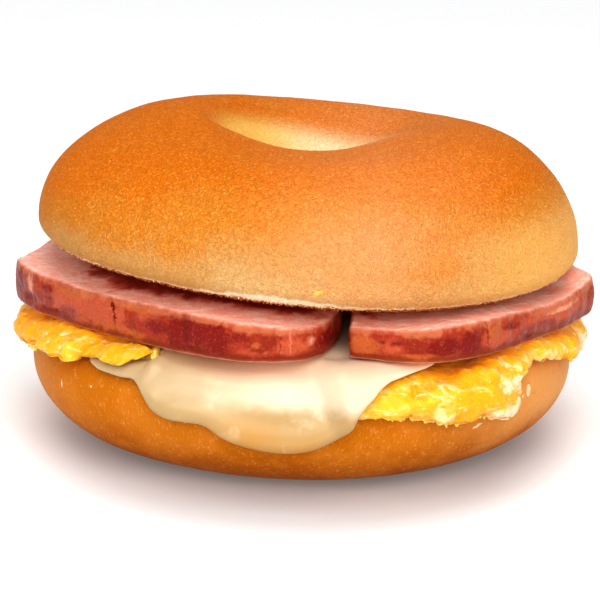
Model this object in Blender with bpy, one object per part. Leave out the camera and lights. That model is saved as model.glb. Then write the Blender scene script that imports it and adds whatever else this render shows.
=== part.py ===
"""A split ring roll filled with scrambled egg, a melted slice of cheese and two half slices of thick ham.

Units are metres, +Z is up, and the origin is the middle of the roll's flat base. -Y is the front,
where the cheese hangs out. The egg and the cheese are laid out on the skin of the lower half: a
place there is an angle round the roll and a reach, which is the distance from the axis along the
flat cut face and then on over the rim and down the crust.
"""

import math

import bmesh
import bpy
import numpy as np
from mathutils import Vector, noise
from mathutils.geometry import delaunay_2d_cdt

# The roll's lower half
HEEL_RADIUS = 0.0563
HEEL_BELLY = 0.016  # height where it is widest
HEEL_TOP = 0.023
HEEL_FACE = 0.052  # radius of the flat of the cut face
BASE_OUTER = 0.0345  # the flat that it rests on
BASE_INNER = 0.019
HOLE_RADIUS = 0.009
HOLE_ROUND = 0.009  # height of the hole's rounded lower edge
BASE_SHIFT = 0.0009  # the base lies this far towards BASE_SHIFT_ANGLE
BASE_SHIFT_ANGLE = math.radians(-80)

# The roll's upper half
CROWN_RADIUS = 0.0561
CROWN_CUT = 0.0384  # height of the cut face on the axis
CROWN_CUT_SLOPE = -0.040  # rise of the cut face towards +X
CROWN_LIP = 0.0034  # how far the crust bulges out over the cut's edge
CROWN_LIP_RISE = 0.0037
CROWN_LIFT = 0.0014  # the cut's edge curls up at the front left
CREST_RADIUS = 0.0311
CREST_HEIGHT = 0.06355
CREST_SHIFT = 0.0037  # the hole lies this far towards +X
FUNNEL_RADIUS = 0.0042  # the slope into the hole heads for this radius
FUNNEL_RISE = 0.0034  # at this height over the cut face
THROAT_RADIUS = 0.0080  # but the hole's straight part, this wide, cuts it off

# The fillings
GAP = 0.0003  # clearance between pieces that touch
EGG_OVER_RIM = 0.0044  # the most that the egg is thick at the rim
EGG_SPILL = 0.0016  # it is this much thicker where it hangs over the rim
EGG_LUMP = 0.0012
EGG_ROUND = 0.0030
CHEESE_THICKNESS = 0.0016
CHEESE_DRIP = 0.0011  # its melted edge is thicker by this
CHEESE_ROUND = 0.0020
HAM_TOP = 0.0341  # height of its upper edge at the front
HAM_SIDE_RISE = 0.0015  # the upper edge is this much higher at the sides
HAM_BACK_RISE = 0.0024  # and this much higher at the back
HAM_THICKNESS = 0.0058
HAM_SIDE_THICKNESS = 0.0024  # it is this much thicker at the sides
HAM_SWELL = 0.0016  # the left slice is this much thicker at the front
HAM_SAG = 0.0020  # the right slice is this much thinner at the front right
HAM_ROUND = 0.0009

# Outlines: (angle in degrees, reach in millimetres) for what lies on the skin
EGG_OUTLINE = (
    (0, 57.0), (12, 58.0), (26, 56.5), (40, 58.5), (54, 57.0), (68, 59.0), (82, 57.5), (96, 59.5),
    (110, 57.5), (124, 59.0), (138, 57.0), (152, 58.5), (166, 57.5), (180, 57.4), (189, 57.9),
    (196, 57.8), (201, 56.8), (207, 56.4), (213, 56.4), (218, 55.9), (222, 54.8), (225, 54.4),
    (228, 54.6), (230.8, 54.9), (233.6, 54.1), (235.3, 52.6), (235.8, 50.6), (237.5, 48.6),
    (243, 47.6), (252, 47.3), (262, 47.5), (271, 48.0), (276.5, 51.0), (279.2, 56.0),
    (280.7, 58.5), (283, 59.0), (286, 58.8), (289.3, 59.2), (293.5, 59.9), (297.7, 60.9),
    (302.5, 61.4), (306, 60.7), (309.5, 61.6), (313.6, 62.3), (315.6, 61.6), (317, 59.9),
    (318.4, 56.8), (323, 55.3), (330.7, 55.7), (339.6, 57.5), (347.5, 58.2),
)
CHEESE_OUTLINE = (
    (222, 54.3), (225, 55.5), (229, 55.8), (232.5, 55.9), (235, 55.8), (237, 56.7), (238.8, 58.2),
    (241, 60.0), (244, 61.0), (248, 61.1), (251.6, 61.2), (255.5, 63.0), (259.4, 64.1),
    (262.5, 64.6), (266, 64.9), (270, 64.7), (273, 64.0), (275.8, 62.8), (278, 61.6), (279.4, 60.3),
    (280.2, 58.7), (281.5, 57.5), (283.2, 56.5), (284.6, 55.6), (286.5, 54.8), (289.5, 54.2),
    (293, 53.6), (297, 53.0), (304, 51.0), (313, 48.5), (335, 46.0), (0, 46.0), (30, 46.0),
    (62, 50.0), (88, 56.0), (112, 51.0), (150, 45.5), (185, 46.0), (215, 44.5), (232, 44.3),
    (236.6, 46.0), (237.2, 48.5), (237.0, 50.6), (235.8, 52.0), (233.0, 52.5), (229.5, 52.5),
    (226, 52.5), (222.8, 52.9),
)
# (x, y) in millimetres for the ham, seen from above
LEFT_HAM_OUTLINE = (
    (6.6, -44.5), (5.6, -47.4), (2.6, -51.4), (0.4, -53.6), (-1.4, -54.3), (-8.5, -55.4),
    (-19.5, -51.3), (-33.0, -41.0), (-48.3, -26.3), (-56.6, -15.5), (-59.2, -7.5), (-57.0, -1.0),
    (-52.8, 14.0), (-44.0, 32.0), (-29.0, 46.0), (-12.0, 52.8), (0.0, 52.5), (3.0, 45.0),
    (4.4, 20.0), (6.6, 0.0), (7.4, -25.0),
)
RIGHT_HAM_OUTLINE = (
    (8.9, -46.6), (8.7, -49.2), (8.9, -50.3), (9.9, -50.9), (12.4, -51.3), (19.5, -52.8),
    (27.0, -51.2), (34.0, -46.3), (47.0, -31.0), (55.3, -19.0), (59.4, -9.0), (57.0, -3.6),
    (53.0, 14.0), (44.5, 32.0), (31.0, 45.0), (17.0, 51.6), (7.4, 51.2), (6.2, 44.0),
    (7.4, 20.0), (9.6, 0.0), (10.2, -25.0),
)

CRUST = (0.86, 0.45, 0.14)
LOWER_CRUST = (0.80, 0.38, 0.10)
EGG = (0.98, 0.78, 0.18)
CHEESE = (0.97, 0.87, 0.62)
HAM = (0.80, 0.33, 0.28)


def smooth(t):
    """0 below 0, 1 above 1, and an S curve between."""
    t = np.clip(t, 0.0, 1.0)
    return t * t * (3 - 2 * t)


def wave(angle, terms):
    """A sum of (amount, waves round the ring, phase in degrees)."""
    return sum(a * np.cos(n * angle + math.radians(p)) for a, n, p in terms)


def hump(angle, centre, width):
    """A bell round the ring, 1 at its centre. The centre and the width are in degrees."""
    away = (np.degrees(angle) - centre + 180) % 360 - 180
    return np.exp(-((away / width) ** 2))


def rim(inset, width):
    """1 on an outline, 0 from width inwards, and a quarter round between."""
    t = np.clip(1 - inset / width, 0.0, 1.0)
    return 1 - np.sqrt(1 - t * t)


def lumps(x, y, size, seed):
    """Smooth noise between about -1 and 1."""
    return np.array([noise.noise(Vector((a / size, b / size, seed))) for a, b in zip(x, y)]) * 1.6


# Meshes


def finished(name, mesh):
    """The bmesh as a smooth shaded object, with its faces pointing out."""
    bmesh.ops.recalc_face_normals(mesh, faces=mesh.faces)
    data = bpy.data.meshes.new(name)
    mesh.to_mesh(data)
    mesh.free()
    data.shade_smooth()
    piece = bpy.data.objects.new(name, data)
    bpy.context.scene.collection.objects.link(piece)
    return piece


def ring(name, section, steps):
    """A closed ring through a section for each angle. A section is a closed row of (x, y, z)."""
    mesh = bmesh.new()
    rows = [[mesh.verts.new(p) for p in section(math.tau * i / steps)] for i in range(steps)]
    for here, there in zip(rows, rows[1:] + rows[:1]):
        for j in range(len(here)):
            k = (j + 1) % len(here)
            mesh.faces.new((here[j], there[j], there[k], here[k]))
    return finished(name, mesh)


def polar(outline):
    """An outline of (angle, reach) as metres in the plane of angle and reach."""
    return [(r * math.cos(math.radians(a)), r * math.sin(math.radians(a))) for a, r in outline]


def even_curve(points, spacing):
    """Evenly spaced points, in metres, along a smooth closed curve through points in millimetres."""
    p = np.array(points) / 1000
    ahead = np.roll(p, -1, 0) - p
    length = np.linalg.norm(ahead, axis=1)[:, None]
    slope = ahead / length
    behind, before = np.roll(slope, 1, 0), np.roll(length, 1, 0)
    tangent = (slope * before + behind * length) / (length + before)
    t = np.linspace(0, 1, 12, endpoint=False)[None, :, None]
    start, end = p[:, None], np.roll(p, -1, 0)[:, None]
    leave, arrive = (tangent * length)[:, None], (np.roll(tangent, -1, 0) * length)[:, None]
    fine = start * (2 * t**3 - 3 * t**2 + 1) + end * (3 * t**2 - 2 * t**3)
    fine = (fine + leave * (t**3 - 2 * t**2 + t) + arrive * (t**3 - t**2)).reshape(-1, 2)
    closed = np.vstack([fine, fine[:1]])
    along = np.concatenate([[0], np.cumsum(np.linalg.norm(np.diff(closed, axis=0), axis=1))])
    count = round(along[-1] / spacing)
    where = np.arange(count) * along[-1] / count
    return np.column_stack([np.interp(where, along, closed[:, k]) for k in (0, 1)])


def depth(x, y, outline):
    """How far inside the outline each place is. It is less than 0 outside."""
    a, b = outline, np.roll(outline, -1, 0)
    step = b - a
    px, py = x[:, None] - a[:, 0], y[:, None] - a[:, 1]
    t = np.clip((px * step[:, 0] + py * step[:, 1]) / (step**2).sum(1), 0, 1)
    away = np.sqrt(((px - t * step[:, 0]) ** 2 + (py - t * step[:, 1]) ** 2).min(1))
    crosses = (a[:, 1] > y[:, None]) != (b[:, 1] > y[:, None])
    at = a[:, 0] + (y[:, None] - a[:, 1]) / np.where(step[:, 1] == 0, 1e-12, step[:, 1]) * step[:, 0]
    inside = (crosses & (x[:, None] < at)).sum(1) % 2 == 1
    return np.where(inside, away, -away)


def rings_of_points(radii, spacing):
    """Places on circles round the axis, spacing apart."""
    found = []
    for i, radius in enumerate(radii):
        count = max(round(math.tau * radius / spacing), 1)
        angles = (np.arange(count) + 0.5 * (i % 2)) * math.tau / count
        found.append(np.column_stack([radius * np.cos(angles), radius * np.sin(angles)]))
    return np.vstack(found)


def sheet_points(outline, insets, inner, clearance):
    """The outline, then copies of it further in, then the inner places well inside those."""
    centre_line = np.roll(outline, -1, 0) - np.roll(outline, 1, 0)
    inward = np.column_stack([-centre_line[:, 1], centre_line[:, 0]])
    inward /= np.linalg.norm(inward, axis=1)[:, None]
    probe = outline + inward * 1e-5
    if depth(probe[:, 0], probe[:, 1], outline).sum() < 0:
        inward = -inward
    points = [outline]
    for inset in insets:
        moved = outline + inward * inset
        points.append(moved[depth(moved[:, 0], moved[:, 1], outline) > inset * 0.93])
    points.append(inner[depth(inner[:, 0], inner[:, 1], outline) > insets[-1] + clearance])
    return np.vstack(points)


def triangles(points, rim_count):
    """Triangles over the points, inside the outline that the first rim_count of them make."""
    flat = [Vector((float(x), float(y))) for x, y in points]
    made = delaunay_2d_cdt(flat, [], [list(range(rim_count))], 1, 1e-7)
    return [[made[3][i][0] for i in face] for face in made[2]]


def slab(name, outline, insets, upper, lower, clearance, high, low, place):
    """A closed sheet over an outline. high and low give its faces' heights and place puts them in space."""
    mesh = bmesh.new()
    rims = []
    for inner, height in ((upper, high), (lower, low)):
        points = sheet_points(outline, insets, inner, clearance)
        x, y = points[:, 0], points[:, 1]
        spots = place(x, y, height(x, y, np.maximum(depth(x, y, outline), 0)))
        corners = [mesh.verts.new(p) for p in spots]
        for face in triangles(points, len(outline)):
            mesh.faces.new([corners[i] for i in face])
        rims.append(corners[: len(outline)])
    for i in range(len(outline)):
        j = (i + 1) % len(outline)
        mesh.faces.new((rims[0][i], rims[0][j], rims[1][j], rims[1][i]))
    return finished(name, mesh)


# The roll


def heel_swell(angle, radius, height):
    """How far the lower half's crust stands out from a true round."""
    low = np.clip(1 - height / HEEL_BELLY, 0, 1)
    uneven = wave(angle, ((0.0004, 2, -105), (0.0002, 3, 110), (0.0002, 5, 40)))
    shift = low * BASE_SHIFT * np.cos(angle - BASE_SHIFT_ANGLE)
    return smooth((radius - 0.030) / 0.020) * (uneven + shift)


def heel_rim(count):
    """Rows of (radius, height, radial part of the normal, upward part) over the rim and down to the base."""
    turn = np.linspace(0, math.pi / 2, count + 1)
    rows = []
    for centre, across, up, s, c in (
        (HEEL_FACE, HEEL_RADIUS - HEEL_FACE, HEEL_TOP - HEEL_BELLY, np.sin(turn), np.cos(turn)),
        (BASE_OUTER, HEEL_RADIUS - BASE_OUTER, -HEEL_BELLY, np.cos(turn)[1:], np.sin(turn)[1:]),
    ):
        size = np.hypot(s / across, c / up)
        rows.append(
            np.column_stack([centre + across * s, HEEL_BELLY + up * c, s / across / size, c / up / size])
        )
    return np.vstack(rows)


SKIN = heel_rim(60)
SKIN_REACH = HEEL_FACE + np.concatenate(
    [[0], np.cumsum(np.linalg.norm(np.diff(SKIN[:, :2], axis=0), axis=1))]
)


def on_skin(x, y, height):
    """Points at a height over the lower half's skin."""
    angle, reach = np.arctan2(y, x), np.hypot(x, y)
    radius, z, out, up = (np.interp(reach, SKIN_REACH, SKIN[:, k]) for k in range(4))
    radius = np.where(reach < HEEL_FACE, reach, radius)
    radius = radius + heel_swell(angle, radius, z) + out * height
    return np.column_stack([radius * np.cos(angle), radius * np.sin(angle), z + up * height])


def heel_section(angle):
    curve = heel_rim(5)
    radii = [0.024, 0.040, *curve[:, 0], BASE_INNER]
    heights = [HEEL_TOP, HEEL_TOP, *curve[:, 1], 0.0]
    for i in (1, 2, 3):
        turn = math.pi / 6 * i
        radii.append(BASE_INNER - (BASE_INNER - HOLE_RADIUS) * math.sin(turn))
        heights.append(HOLE_ROUND * (1 - math.cos(turn)))
    radii += [HOLE_RADIUS, HOLE_RADIUS]
    heights += [0.016, HEEL_TOP]
    r, z = np.array(radii), np.array(heights)
    r = r + heel_swell(angle, r, z)
    return np.column_stack([r * math.cos(angle), r * math.sin(angle), z])


def crown_cut(x, y):
    """Height of the upper half's cut face."""
    curl = CROWN_LIFT * hump(np.arctan2(y, x), 232, 40) * (np.hypot(x, y) / CROWN_RADIUS) ** 3
    return CROWN_CUT + CROWN_CUT_SLOPE * x + curl


def funnel_height(angle, radius, crest, top):
    """Height of the slope into the hole. It is steepest at the front."""
    square = 1.7 + 0.37 * np.cos(angle) + 1.5 * np.maximum(-np.sin(angle), 0) ** 1.15
    base = CROWN_CUT + FUNNEL_RISE
    across = (crest - radius) / (crest - FUNNEL_RADIUS)
    return base + (top - base) * (1 - across**square) ** (1 / square)


def crown_section(angle):
    belly = CROWN_RADIUS + wave(angle, ((0.0006, 1, 0), (0.0004, 2, 90), (0.0002, 5, 10)))
    edge = belly - CROWN_LIP
    crest = CREST_RADIUS + wave(angle, ((0.0020, 1, -86), (0.0040, 2, 175)))
    top = CREST_HEIGHT + wave(angle, ((0.0009, 1, 149), (0.0016, 2, 37)))
    cut = float(crown_cut(edge * math.cos(angle), edge * math.sin(angle)))
    belly_height = cut + CROWN_LIP_RISE
    profile = [(0.020, None), (0.036, None), (edge, cut)]
    for i in (1, 2, 3):
        turn = math.radians(30 + 20 * i)
        out = 1 - (1 - math.sin(turn)) / (1 - math.sin(math.radians(30)))
        up = 1 - math.cos(turn) / math.cos(math.radians(30))
        profile.append((edge + CROWN_LIP * out, cut + CROWN_LIP_RISE * up))
    for i in range(1, 9):
        turn = math.pi / 16 * i
        across, up = belly - crest, top - belly_height
        profile.append((crest + across * math.cos(turn), belly_height + up * math.sin(turn)))
    for i in range(1, 8):
        r = THROAT_RADIUS + (crest - THROAT_RADIUS) * (1 - i / 7) ** 1.5
        profile.append((r, float(funnel_height(angle, r, crest, top))))
    profile.append((THROAT_RADIUS, None))
    rows = []
    for r, z in profile:
        shift = CREST_SHIFT * (1 - float(smooth((r - 0.026) / 0.030)))
        x, y = r * math.cos(angle) + shift, r * math.sin(angle)
        rows.append((x, y, float(crown_cut(x, y)) if z is None else z))
    return rows


# The ham


def ham_arch(x, y):
    """Height of an even slice's upper face: it arches up to the upper half's cut face."""
    edge = HAM_TOP + HAM_SIDE_RISE * smooth(np.abs(x) / 0.050)
    under_crown = CROWN_CUT + CROWN_CUT_SLOPE * x - GAP
    edge = edge + np.minimum(HAM_BACK_RISE, under_crown - edge) * smooth((y + 0.004) / 0.045)
    return edge + (under_crown - edge) * (1 - smooth((np.hypot(x, y) - 0.026) / 0.027))


def ham_top(x, y):
    """Height of the ham's upper face, where it is thicker at the front left and thinner at the right."""
    swell = HAM_SWELL * np.exp(-(((x + 0.017) / 0.019) ** 2)) * (1 - smooth((y + 0.050) / 0.030))
    sag = HAM_SAG * np.exp(-(((x - 0.050) / 0.010) ** 2)) * (1 - smooth((y + 0.016) / 0.010))
    return ham_arch(x, y) + swell - sag


def ham_base(x, y):
    """Height of its lower face."""
    return ham_arch(x, y) - HAM_THICKNESS - HAM_SIDE_THICKNESS * smooth(np.abs(x) / 0.052)


def ham_high(x, y, inset):
    return ham_top(x, y) - HAM_ROUND * rim(inset, HAM_ROUND)


def ham_low(x, y, inset):
    return ham_base(x, y) + HAM_ROUND * rim(inset, HAM_ROUND)


def upright(x, y, height):
    return np.column_stack([x, y, height])


# The egg and the cheese

EGG_EDGE = even_curve(polar(EGG_OUTLINE), 0.0030)
CHEESE_EDGE = even_curve(polar(CHEESE_OUTLINE), 0.0024)


def tucked(x, y):
    """1 where a wing of the cheese lies under the egg, at the front left."""
    angle = np.degrees(np.arctan2(y, x)) % 360
    over_rim = smooth((np.hypot(x, y) - 0.0496) / 0.0018)
    return over_rim * smooth((angle - 218) / 4) * (1 - smooth((angle - 236.5) / 4))


def clear_of_rim(x, y):
    """Clearance over the skin, wider on the rim, where the crust's facets are steep."""
    return GAP + 0.0005 * smooth((np.hypot(x, y) - 0.0485) / 0.0025)


def egg_height(x, y):
    """Height of the egg's upper face over the skin, away from its edge."""
    out = smooth((np.hypot(x, y) - 0.0525) / 0.0050)
    room = ham_base(x, y) - HEEL_TOP - clear_of_rim(x, y)
    cheese = smooth((depth(x, y, CHEESE_EDGE) + 0.0045) / 0.0030) * (1 - tucked(x, y))
    spill = out * (EGG_SPILL + EGG_LUMP * lumps(x, y, 0.0095, 3.3))
    room = room + smooth((np.hypot(x, y) - 0.0460) / 0.0060) * (np.minimum(room, EGG_OVER_RIM) - room)
    return room - cheese * (CHEESE_THICKNESS + 2 * GAP) + spill


def egg_base(x, y, inset):
    """Height of its lower face, away from its edge."""
    lift = (CHEESE_THICKNESS + 0.0006) * tucked(x, y) * (1 - smooth((inset - 0.0015) / 0.0040))
    return clear_of_rim(x, y) + lift


def egg_high(x, y, inset):
    top, base = egg_height(x, y), egg_base(x, y, inset)
    return top - 0.40 * (top - base) * rim(inset, EGG_ROUND)


def egg_low(x, y, inset):
    top, base = egg_height(x, y), egg_base(x, y, inset)
    return base + 0.40 * (top - base) * rim(inset, EGG_ROUND)


def cheese_base(x, y):
    """Height of the cheese's lower face, draped over the egg where that lies under it."""
    over_egg = smooth((depth(x, y, EGG_EDGE) + 0.0055) / 0.0058)
    return clear_of_rim(x, y) + (egg_height(x, y) + 0.0002) * over_egg * (1 - tucked(x, y))


def cheese_thickness(x, y, inset):
    hanging = smooth((np.hypot(x, y) - 0.0540) / 0.0040)
    return CHEESE_THICKNESS + CHEESE_DRIP * hanging * (1 - smooth((inset - 0.0015) / 0.0040))


def cheese_high(x, y, inset):
    thickness = cheese_thickness(x, y, inset)
    return cheese_base(x, y) + thickness * (1 - 0.42 * rim(inset, CHEESE_ROUND))


def cheese_low(x, y, inset):
    return cheese_base(x, y) + cheese_thickness(x, y, inset) * 0.42 * rim(inset, 0.8 * CHEESE_ROUND)


def paint(piece, colour, roughness):
    material = bpy.data.materials.new(piece.name)
    material.use_nodes = True
    shader = material.node_tree.nodes["Principled BSDF"]
    shader.inputs["Base Color"].default_value = (*colour, 1)
    shader.inputs["Roughness"].default_value = roughness
    shader.inputs["Metallic"].default_value = 0
    piece.data.materials.append(material)


def main():
    for old in list(bpy.data.objects):
        bpy.data.objects.remove(old, do_unlink=True)

    paint(ring("heel", heel_section, 64), LOWER_CRUST, 0.5)
    paint(ring("crown", crown_section, 64), CRUST, 0.4)

    fine = rings_of_points((0.0, 0.008, 0.016, 0.024, 0.032, 0.039, 0.0445), 0.0075)
    over = rings_of_points((0.0485, 0.0510, 0.0535, 0.0560, 0.0585, 0.0610), 0.0042)
    points = np.vstack([fine, over])
    egg = slab(
        "egg", EGG_EDGE, (0.0009, 0.0028), points, points, 0.0010, egg_high, egg_low, on_skin
    )
    paint(egg, EGG, 0.45)
    cheese = slab(
        "cheese", CHEESE_EDGE, (0.0008, 0.0018), points, points, 0.0010, cheese_high, cheese_low, on_skin
    )
    paint(cheese, CHEESE, 0.3)

    grid = np.arange(-0.060, 0.061, 0.0075)
    points = np.array([(x, y + 0.0037 * (i % 2)) for i, x in enumerate(grid) for y in grid])
    for name, outline in (("ham_left", LEFT_HAM_OUTLINE), ("ham_right", RIGHT_HAM_OUTLINE)):
        curve = even_curve(outline, 0.0030)
        ham = slab(
            name, curve, (HAM_ROUND,), points, points, 0.0015, ham_high, ham_low, upright
        )
        paint(ham, HAM, 0.4)


main()
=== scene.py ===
"""Looks of a split ring roll filled with scrambled egg, a melted slice of cheese and thick ham.

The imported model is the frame. Every piece here stands for one of its nodes, in metres, with +Z up
and -Y at the front, and is made again from the same sizes with far finer faces. Geometry Nodes
give the crust, the egg and the ham their relief and strew the crumbs.
"""

import math

import bmesh
import bpy
import numpy as np
from mathutils import Matrix, Vector, noise
from mathutils.geometry import delaunay_2d_cdt


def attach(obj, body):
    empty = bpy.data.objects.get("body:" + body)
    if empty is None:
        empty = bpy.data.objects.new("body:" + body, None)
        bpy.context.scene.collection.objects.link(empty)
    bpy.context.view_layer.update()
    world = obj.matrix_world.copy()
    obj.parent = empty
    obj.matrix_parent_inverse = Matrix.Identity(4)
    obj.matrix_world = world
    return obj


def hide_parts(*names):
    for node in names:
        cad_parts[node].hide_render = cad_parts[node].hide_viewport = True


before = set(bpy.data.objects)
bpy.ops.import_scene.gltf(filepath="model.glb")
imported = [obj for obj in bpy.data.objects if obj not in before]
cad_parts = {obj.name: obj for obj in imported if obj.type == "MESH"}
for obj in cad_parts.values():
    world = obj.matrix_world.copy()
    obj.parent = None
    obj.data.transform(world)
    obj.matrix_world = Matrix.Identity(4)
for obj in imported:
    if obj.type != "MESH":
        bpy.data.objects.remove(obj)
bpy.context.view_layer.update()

bl_info = {
    "name": "Egg, Ham and Cheese Roll",
    "version": (1, 0, 0),
    "blender": (4, 5, 0),
    "location": "3D View > Sidebar > Sandwich",
    "description": "Makes a ring roll filled with egg, cheese and ham, and the table it lies on",
    "category": "Add Mesh",
}

# The roll's lower half
HEEL_RADIUS = 0.0563
HEEL_BELLY = 0.016
HEEL_TOP = 0.023
HEEL_FACE = 0.052
BASE_OUTER = 0.0345
BASE_INNER = 0.019
HOLE_RADIUS = 0.009
HOLE_ROUND = 0.009
BASE_SHIFT = 0.0009
BASE_SHIFT_ANGLE = math.radians(-80)

# The roll's upper half
CROWN_RADIUS = 0.0561
CROWN_CUT = 0.0384
CROWN_CUT_SLOPE = -0.04
CROWN_LIP = 0.0034
CROWN_LIP_RISE = 0.0037
CROWN_LIFT = 0.0014
CREST_RADIUS = 0.0311
CREST_HEIGHT = 0.06355
CREST_SHIFT = 0.0037
FUNNEL_RADIUS = 0.0042
FUNNEL_RISE = 0.0034
THROAT_RADIUS = 0.008

# The fillings
GAP = 0.0003
EGG_OVER_RIM = 0.0044
EGG_SPILL = 0.0016
EGG_LUMP = 0.0012
EGG_ROUND = 0.003
CHEESE_THICKNESS = 0.0016
CHEESE_DRIP = 0.0011
CHEESE_ROUND = 0.002
HAM_TOP = 0.0341
HAM_SIDE_RISE = 0.0015
HAM_BACK_RISE = 0.0024
HAM_THICKNESS = 0.0058
HAM_SIDE_THICKNESS = 0.0024
HAM_SWELL = 0.0016
HAM_SAG = 0.002
HAM_ROUND = 0.0009

# Outlines: (angle in degrees, reach in millimetres) for what lies on the skin of the lower half
EGG_OUTLINE = (
    (0, 57), (12, 58), (26, 56.5), (40, 58.5), (54, 57), (68, 59), (82, 57.5), (96, 59.5),
    (110, 57.5), (124, 59), (138, 57), (152, 58.5), (166, 57.5), (180, 57.4), (189, 57.9),
    (196, 57.8), (201, 56.8), (207, 56.4), (213, 56.4), (218, 55.9), (222, 54.8), (225, 54.4),
    (228, 54.6), (230.8, 54.9), (233.6, 54.1), (235.3, 52.6), (235.8, 50.6), (237.5, 48.6),
    (243, 47.6), (252, 47.3), (262, 47.5), (271, 48), (276.5, 51), (279.2, 56),
    (280.7, 58.5), (283, 59), (286, 58.8), (289.3, 59.2), (293.5, 59.9), (297.7, 60.9),
    (302.5, 61.4), (306, 60.7), (309.5, 61.6), (313.6, 62.3), (315.6, 61.6), (317, 59.9),
    (318.4, 56.8), (323, 55.3), (330.7, 55.7), (339.6, 57.5), (347.5, 58.2),
)
CHEESE_OUTLINE = (
    (222, 54.3), (225, 55.5), (229, 55.8), (232.5, 55.9), (235, 55.8), (237, 56.7), (238.8, 58.2),
    (241, 60), (244, 61), (248, 61.1), (251.6, 61.2), (255.5, 63), (259.4, 64.1),
    (262.5, 64.6), (266, 64.9), (270, 64.7), (273, 64), (275.8, 62.8), (278, 61.6), (279.4, 60.3),
    (280.2, 58.7), (281.5, 57.5), (283.2, 56.5), (284.6, 55.6), (286.5, 54.8), (289.5, 54.2),
    (293, 53.6), (297, 53), (304, 51), (313, 48.5), (335, 46), (0, 46), (30, 46),
    (62, 50), (88, 56), (112, 51), (150, 45.5), (185, 46), (215, 44.5), (232, 44.3),
    (236.6, 46), (237.2, 48.5), (237, 50.6), (235.8, 52), (233, 52.5), (229.5, 52.5),
    (226, 52.5), (222.8, 52.9),
)
# (x, y) in millimetres for the ham, seen from above
LEFT_HAM_OUTLINE = (
    (6.6, -44.5), (5.6, -47.4), (2.6, -51.4), (0.4, -53.6), (-1.4, -54.3), (-8.5, -55.4),
    (-19.5, -51.3), (-33, -41), (-48.3, -26.3), (-56.6, -15.5), (-59.2, -7.5), (-57, -1),
    (-52.8, 14), (-44, 32), (-29, 46), (-12, 52.8), (0, 52.5), (3, 45),
    (4.4, 20), (6.6, 0), (7.4, -25),
)
RIGHT_HAM_OUTLINE = (
    (8.9, -46.6), (8.7, -49.2), (8.9, -50.3), (9.9, -50.9), (12.4, -51.3), (19.5, -52.8),
    (27, -51.2), (34, -46.3), (47, -31), (55.3, -19), (59.4, -9), (57, -3.6),
    (53, 14), (44.5, 32), (31, 45), (17, 51.6), (7.4, 51.2), (6.2, 44),
    (7.4, 20), (9.6, 0), (10.2, -25),
)
# Places on the ham's side at the front: (x in millimetres, share of the way down, half width in
# millimetres, half height as a share, strength)
HAM_MARKS = {
    "scar": (
        (-58.6, 0.55, 1.6, 0.4, 0.9), (-55.6, 0.72, 2.4, 0.2, 0.9), (-51.4, 0.5, 1.6, 0.16, 0.8),
        (-51, 0.86, 4, 0.12, 0.8), (-22.4, 0.4, 1.6, 0.5, 0.6), (-21, 0.95, 2.4, 0.1, 0.9),
        (6.2, 0.5, 1.3, 0.7, 0.6), (8.6, 0.6, 0.8, 0.6, 0.7), (14.6, 0.36, 1.3, 0.16, 0.8),
        (34.4, 0.4, 0.8, 0.4, 0.5), (44.6, 0.88, 1.6, 0.12, 0.5), (58.6, 0.4, 0.8, 0.6, 0.5),
    ),
    "deep": (
        (-58.4, 0.4, 1.6, 0.6, 0.7), (-51.5, 0.2, 1.4, 0.16, 0.9), (-28, 0.45, 4, 0.34, 0.6),
        (-20, 0.6, 5.2, 0.9, 1.5), (-12.5, 0.3, 5, 0.3, 0.5), (4.6, 0.5, 2.4, 0.5, 0.85),
        (18, 0.35, 3, 0.26, 0.5), (27, 0.55, 3.6, 0.34, 0.95), (32.2, 0.6, 2.2, 0.5, 1),
        (40.5, 0.25, 2.6, 0.2, 0.6),
    ),
    "tan": (
        (-57.8, 0.3, 1.6, 0.5, 0.45), (-46, 0.1, 6, 0.2, 0.6), (-36, 0.9, 8, 0.26, 0.8),
        (-33, 0.05, 6, 0.16, 0.7), (-8.6, 0.52, 1.1, 0.13, 1), (0.2, 0.5, 0.28, 0.6, 0.8),
        (11.5, 0.6, 3.4, 0.6, 0.9), (22, 0.95, 8, 0.22, 0.8), (36.5, 0.35, 2, 0.4, 0.6),
        (37.8, 0.25, 0.8, 0.25, 0.9), (57.5, 0.35, 3, 0.6, 0.45),
    ),
    "rosy": (
        (-46, 0.5, 6, 0.6, 0.9), (-39, 0.45, 5.5, 0.6, 0.9), (-30, 0.25, 4, 0.3, 0.5),
        (-9, 0.8, 6, 0.3, 0.5), (-2, 0.55, 3.6, 0.5, 0.8), (17, 0.5, 3, 0.4, 0.7),
        (38, 0.6, 4, 0.6, 0.7), (50, 0.3, 8, 0.5, 0.9),
    ),
    "pale": (
        (-55.4, 0.25, 1.2, 0.5, 0.5), (52, 0.15, 5, 0.16, 0.6),
        (1.6, 0.3, 1.6, 0.3, 0.5),
    ),
    "mauve": (
        (-52, 0.6, 2.6, 0.4, 0.7), (-46.5, 0.75, 3.6, 0.35, 0.6), (-20.5, 0.85, 2.4, 0.25, 0.6),
        (40.5, 0.8, 3, 0.34, 0.5), (46.5, 0.7, 4.6, 0.4, 0.9), (53, 0.85, 3.2, 0.3, 0.6),
    ),
}

# Thin lines down the ham's side: (x in metres, lean, half width, share of the way down where it
# starts and ends, strength, colour)
# The dark lines at -37.2 mm and -4 mm are painted shade in creases of the side, and the pale line at -2.2 mm
# is a painted highlight on a crease's edge; the mesh has no creases there.
HAM_LINES = (
    (-0.0372, 0.001, 0.00034, 0.00, 0.72, 0.95, "6A1404"),
    (-0.0228, 0.0006, 0.0005, -0.1, 0.9, 0.5, "6E1208"),
    (-0.004, -0.0002, 0.00022, 0.1, 0.95, 0.6, "6E1208"),
    (-0.0022, -0.0001, 0.00024, -0.1, 0.9, 0.42, "E09070"),
    (0.0352, 0.001, 0.00026, -0.1, 0.8, 0.6, "6E1208"),
)
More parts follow.
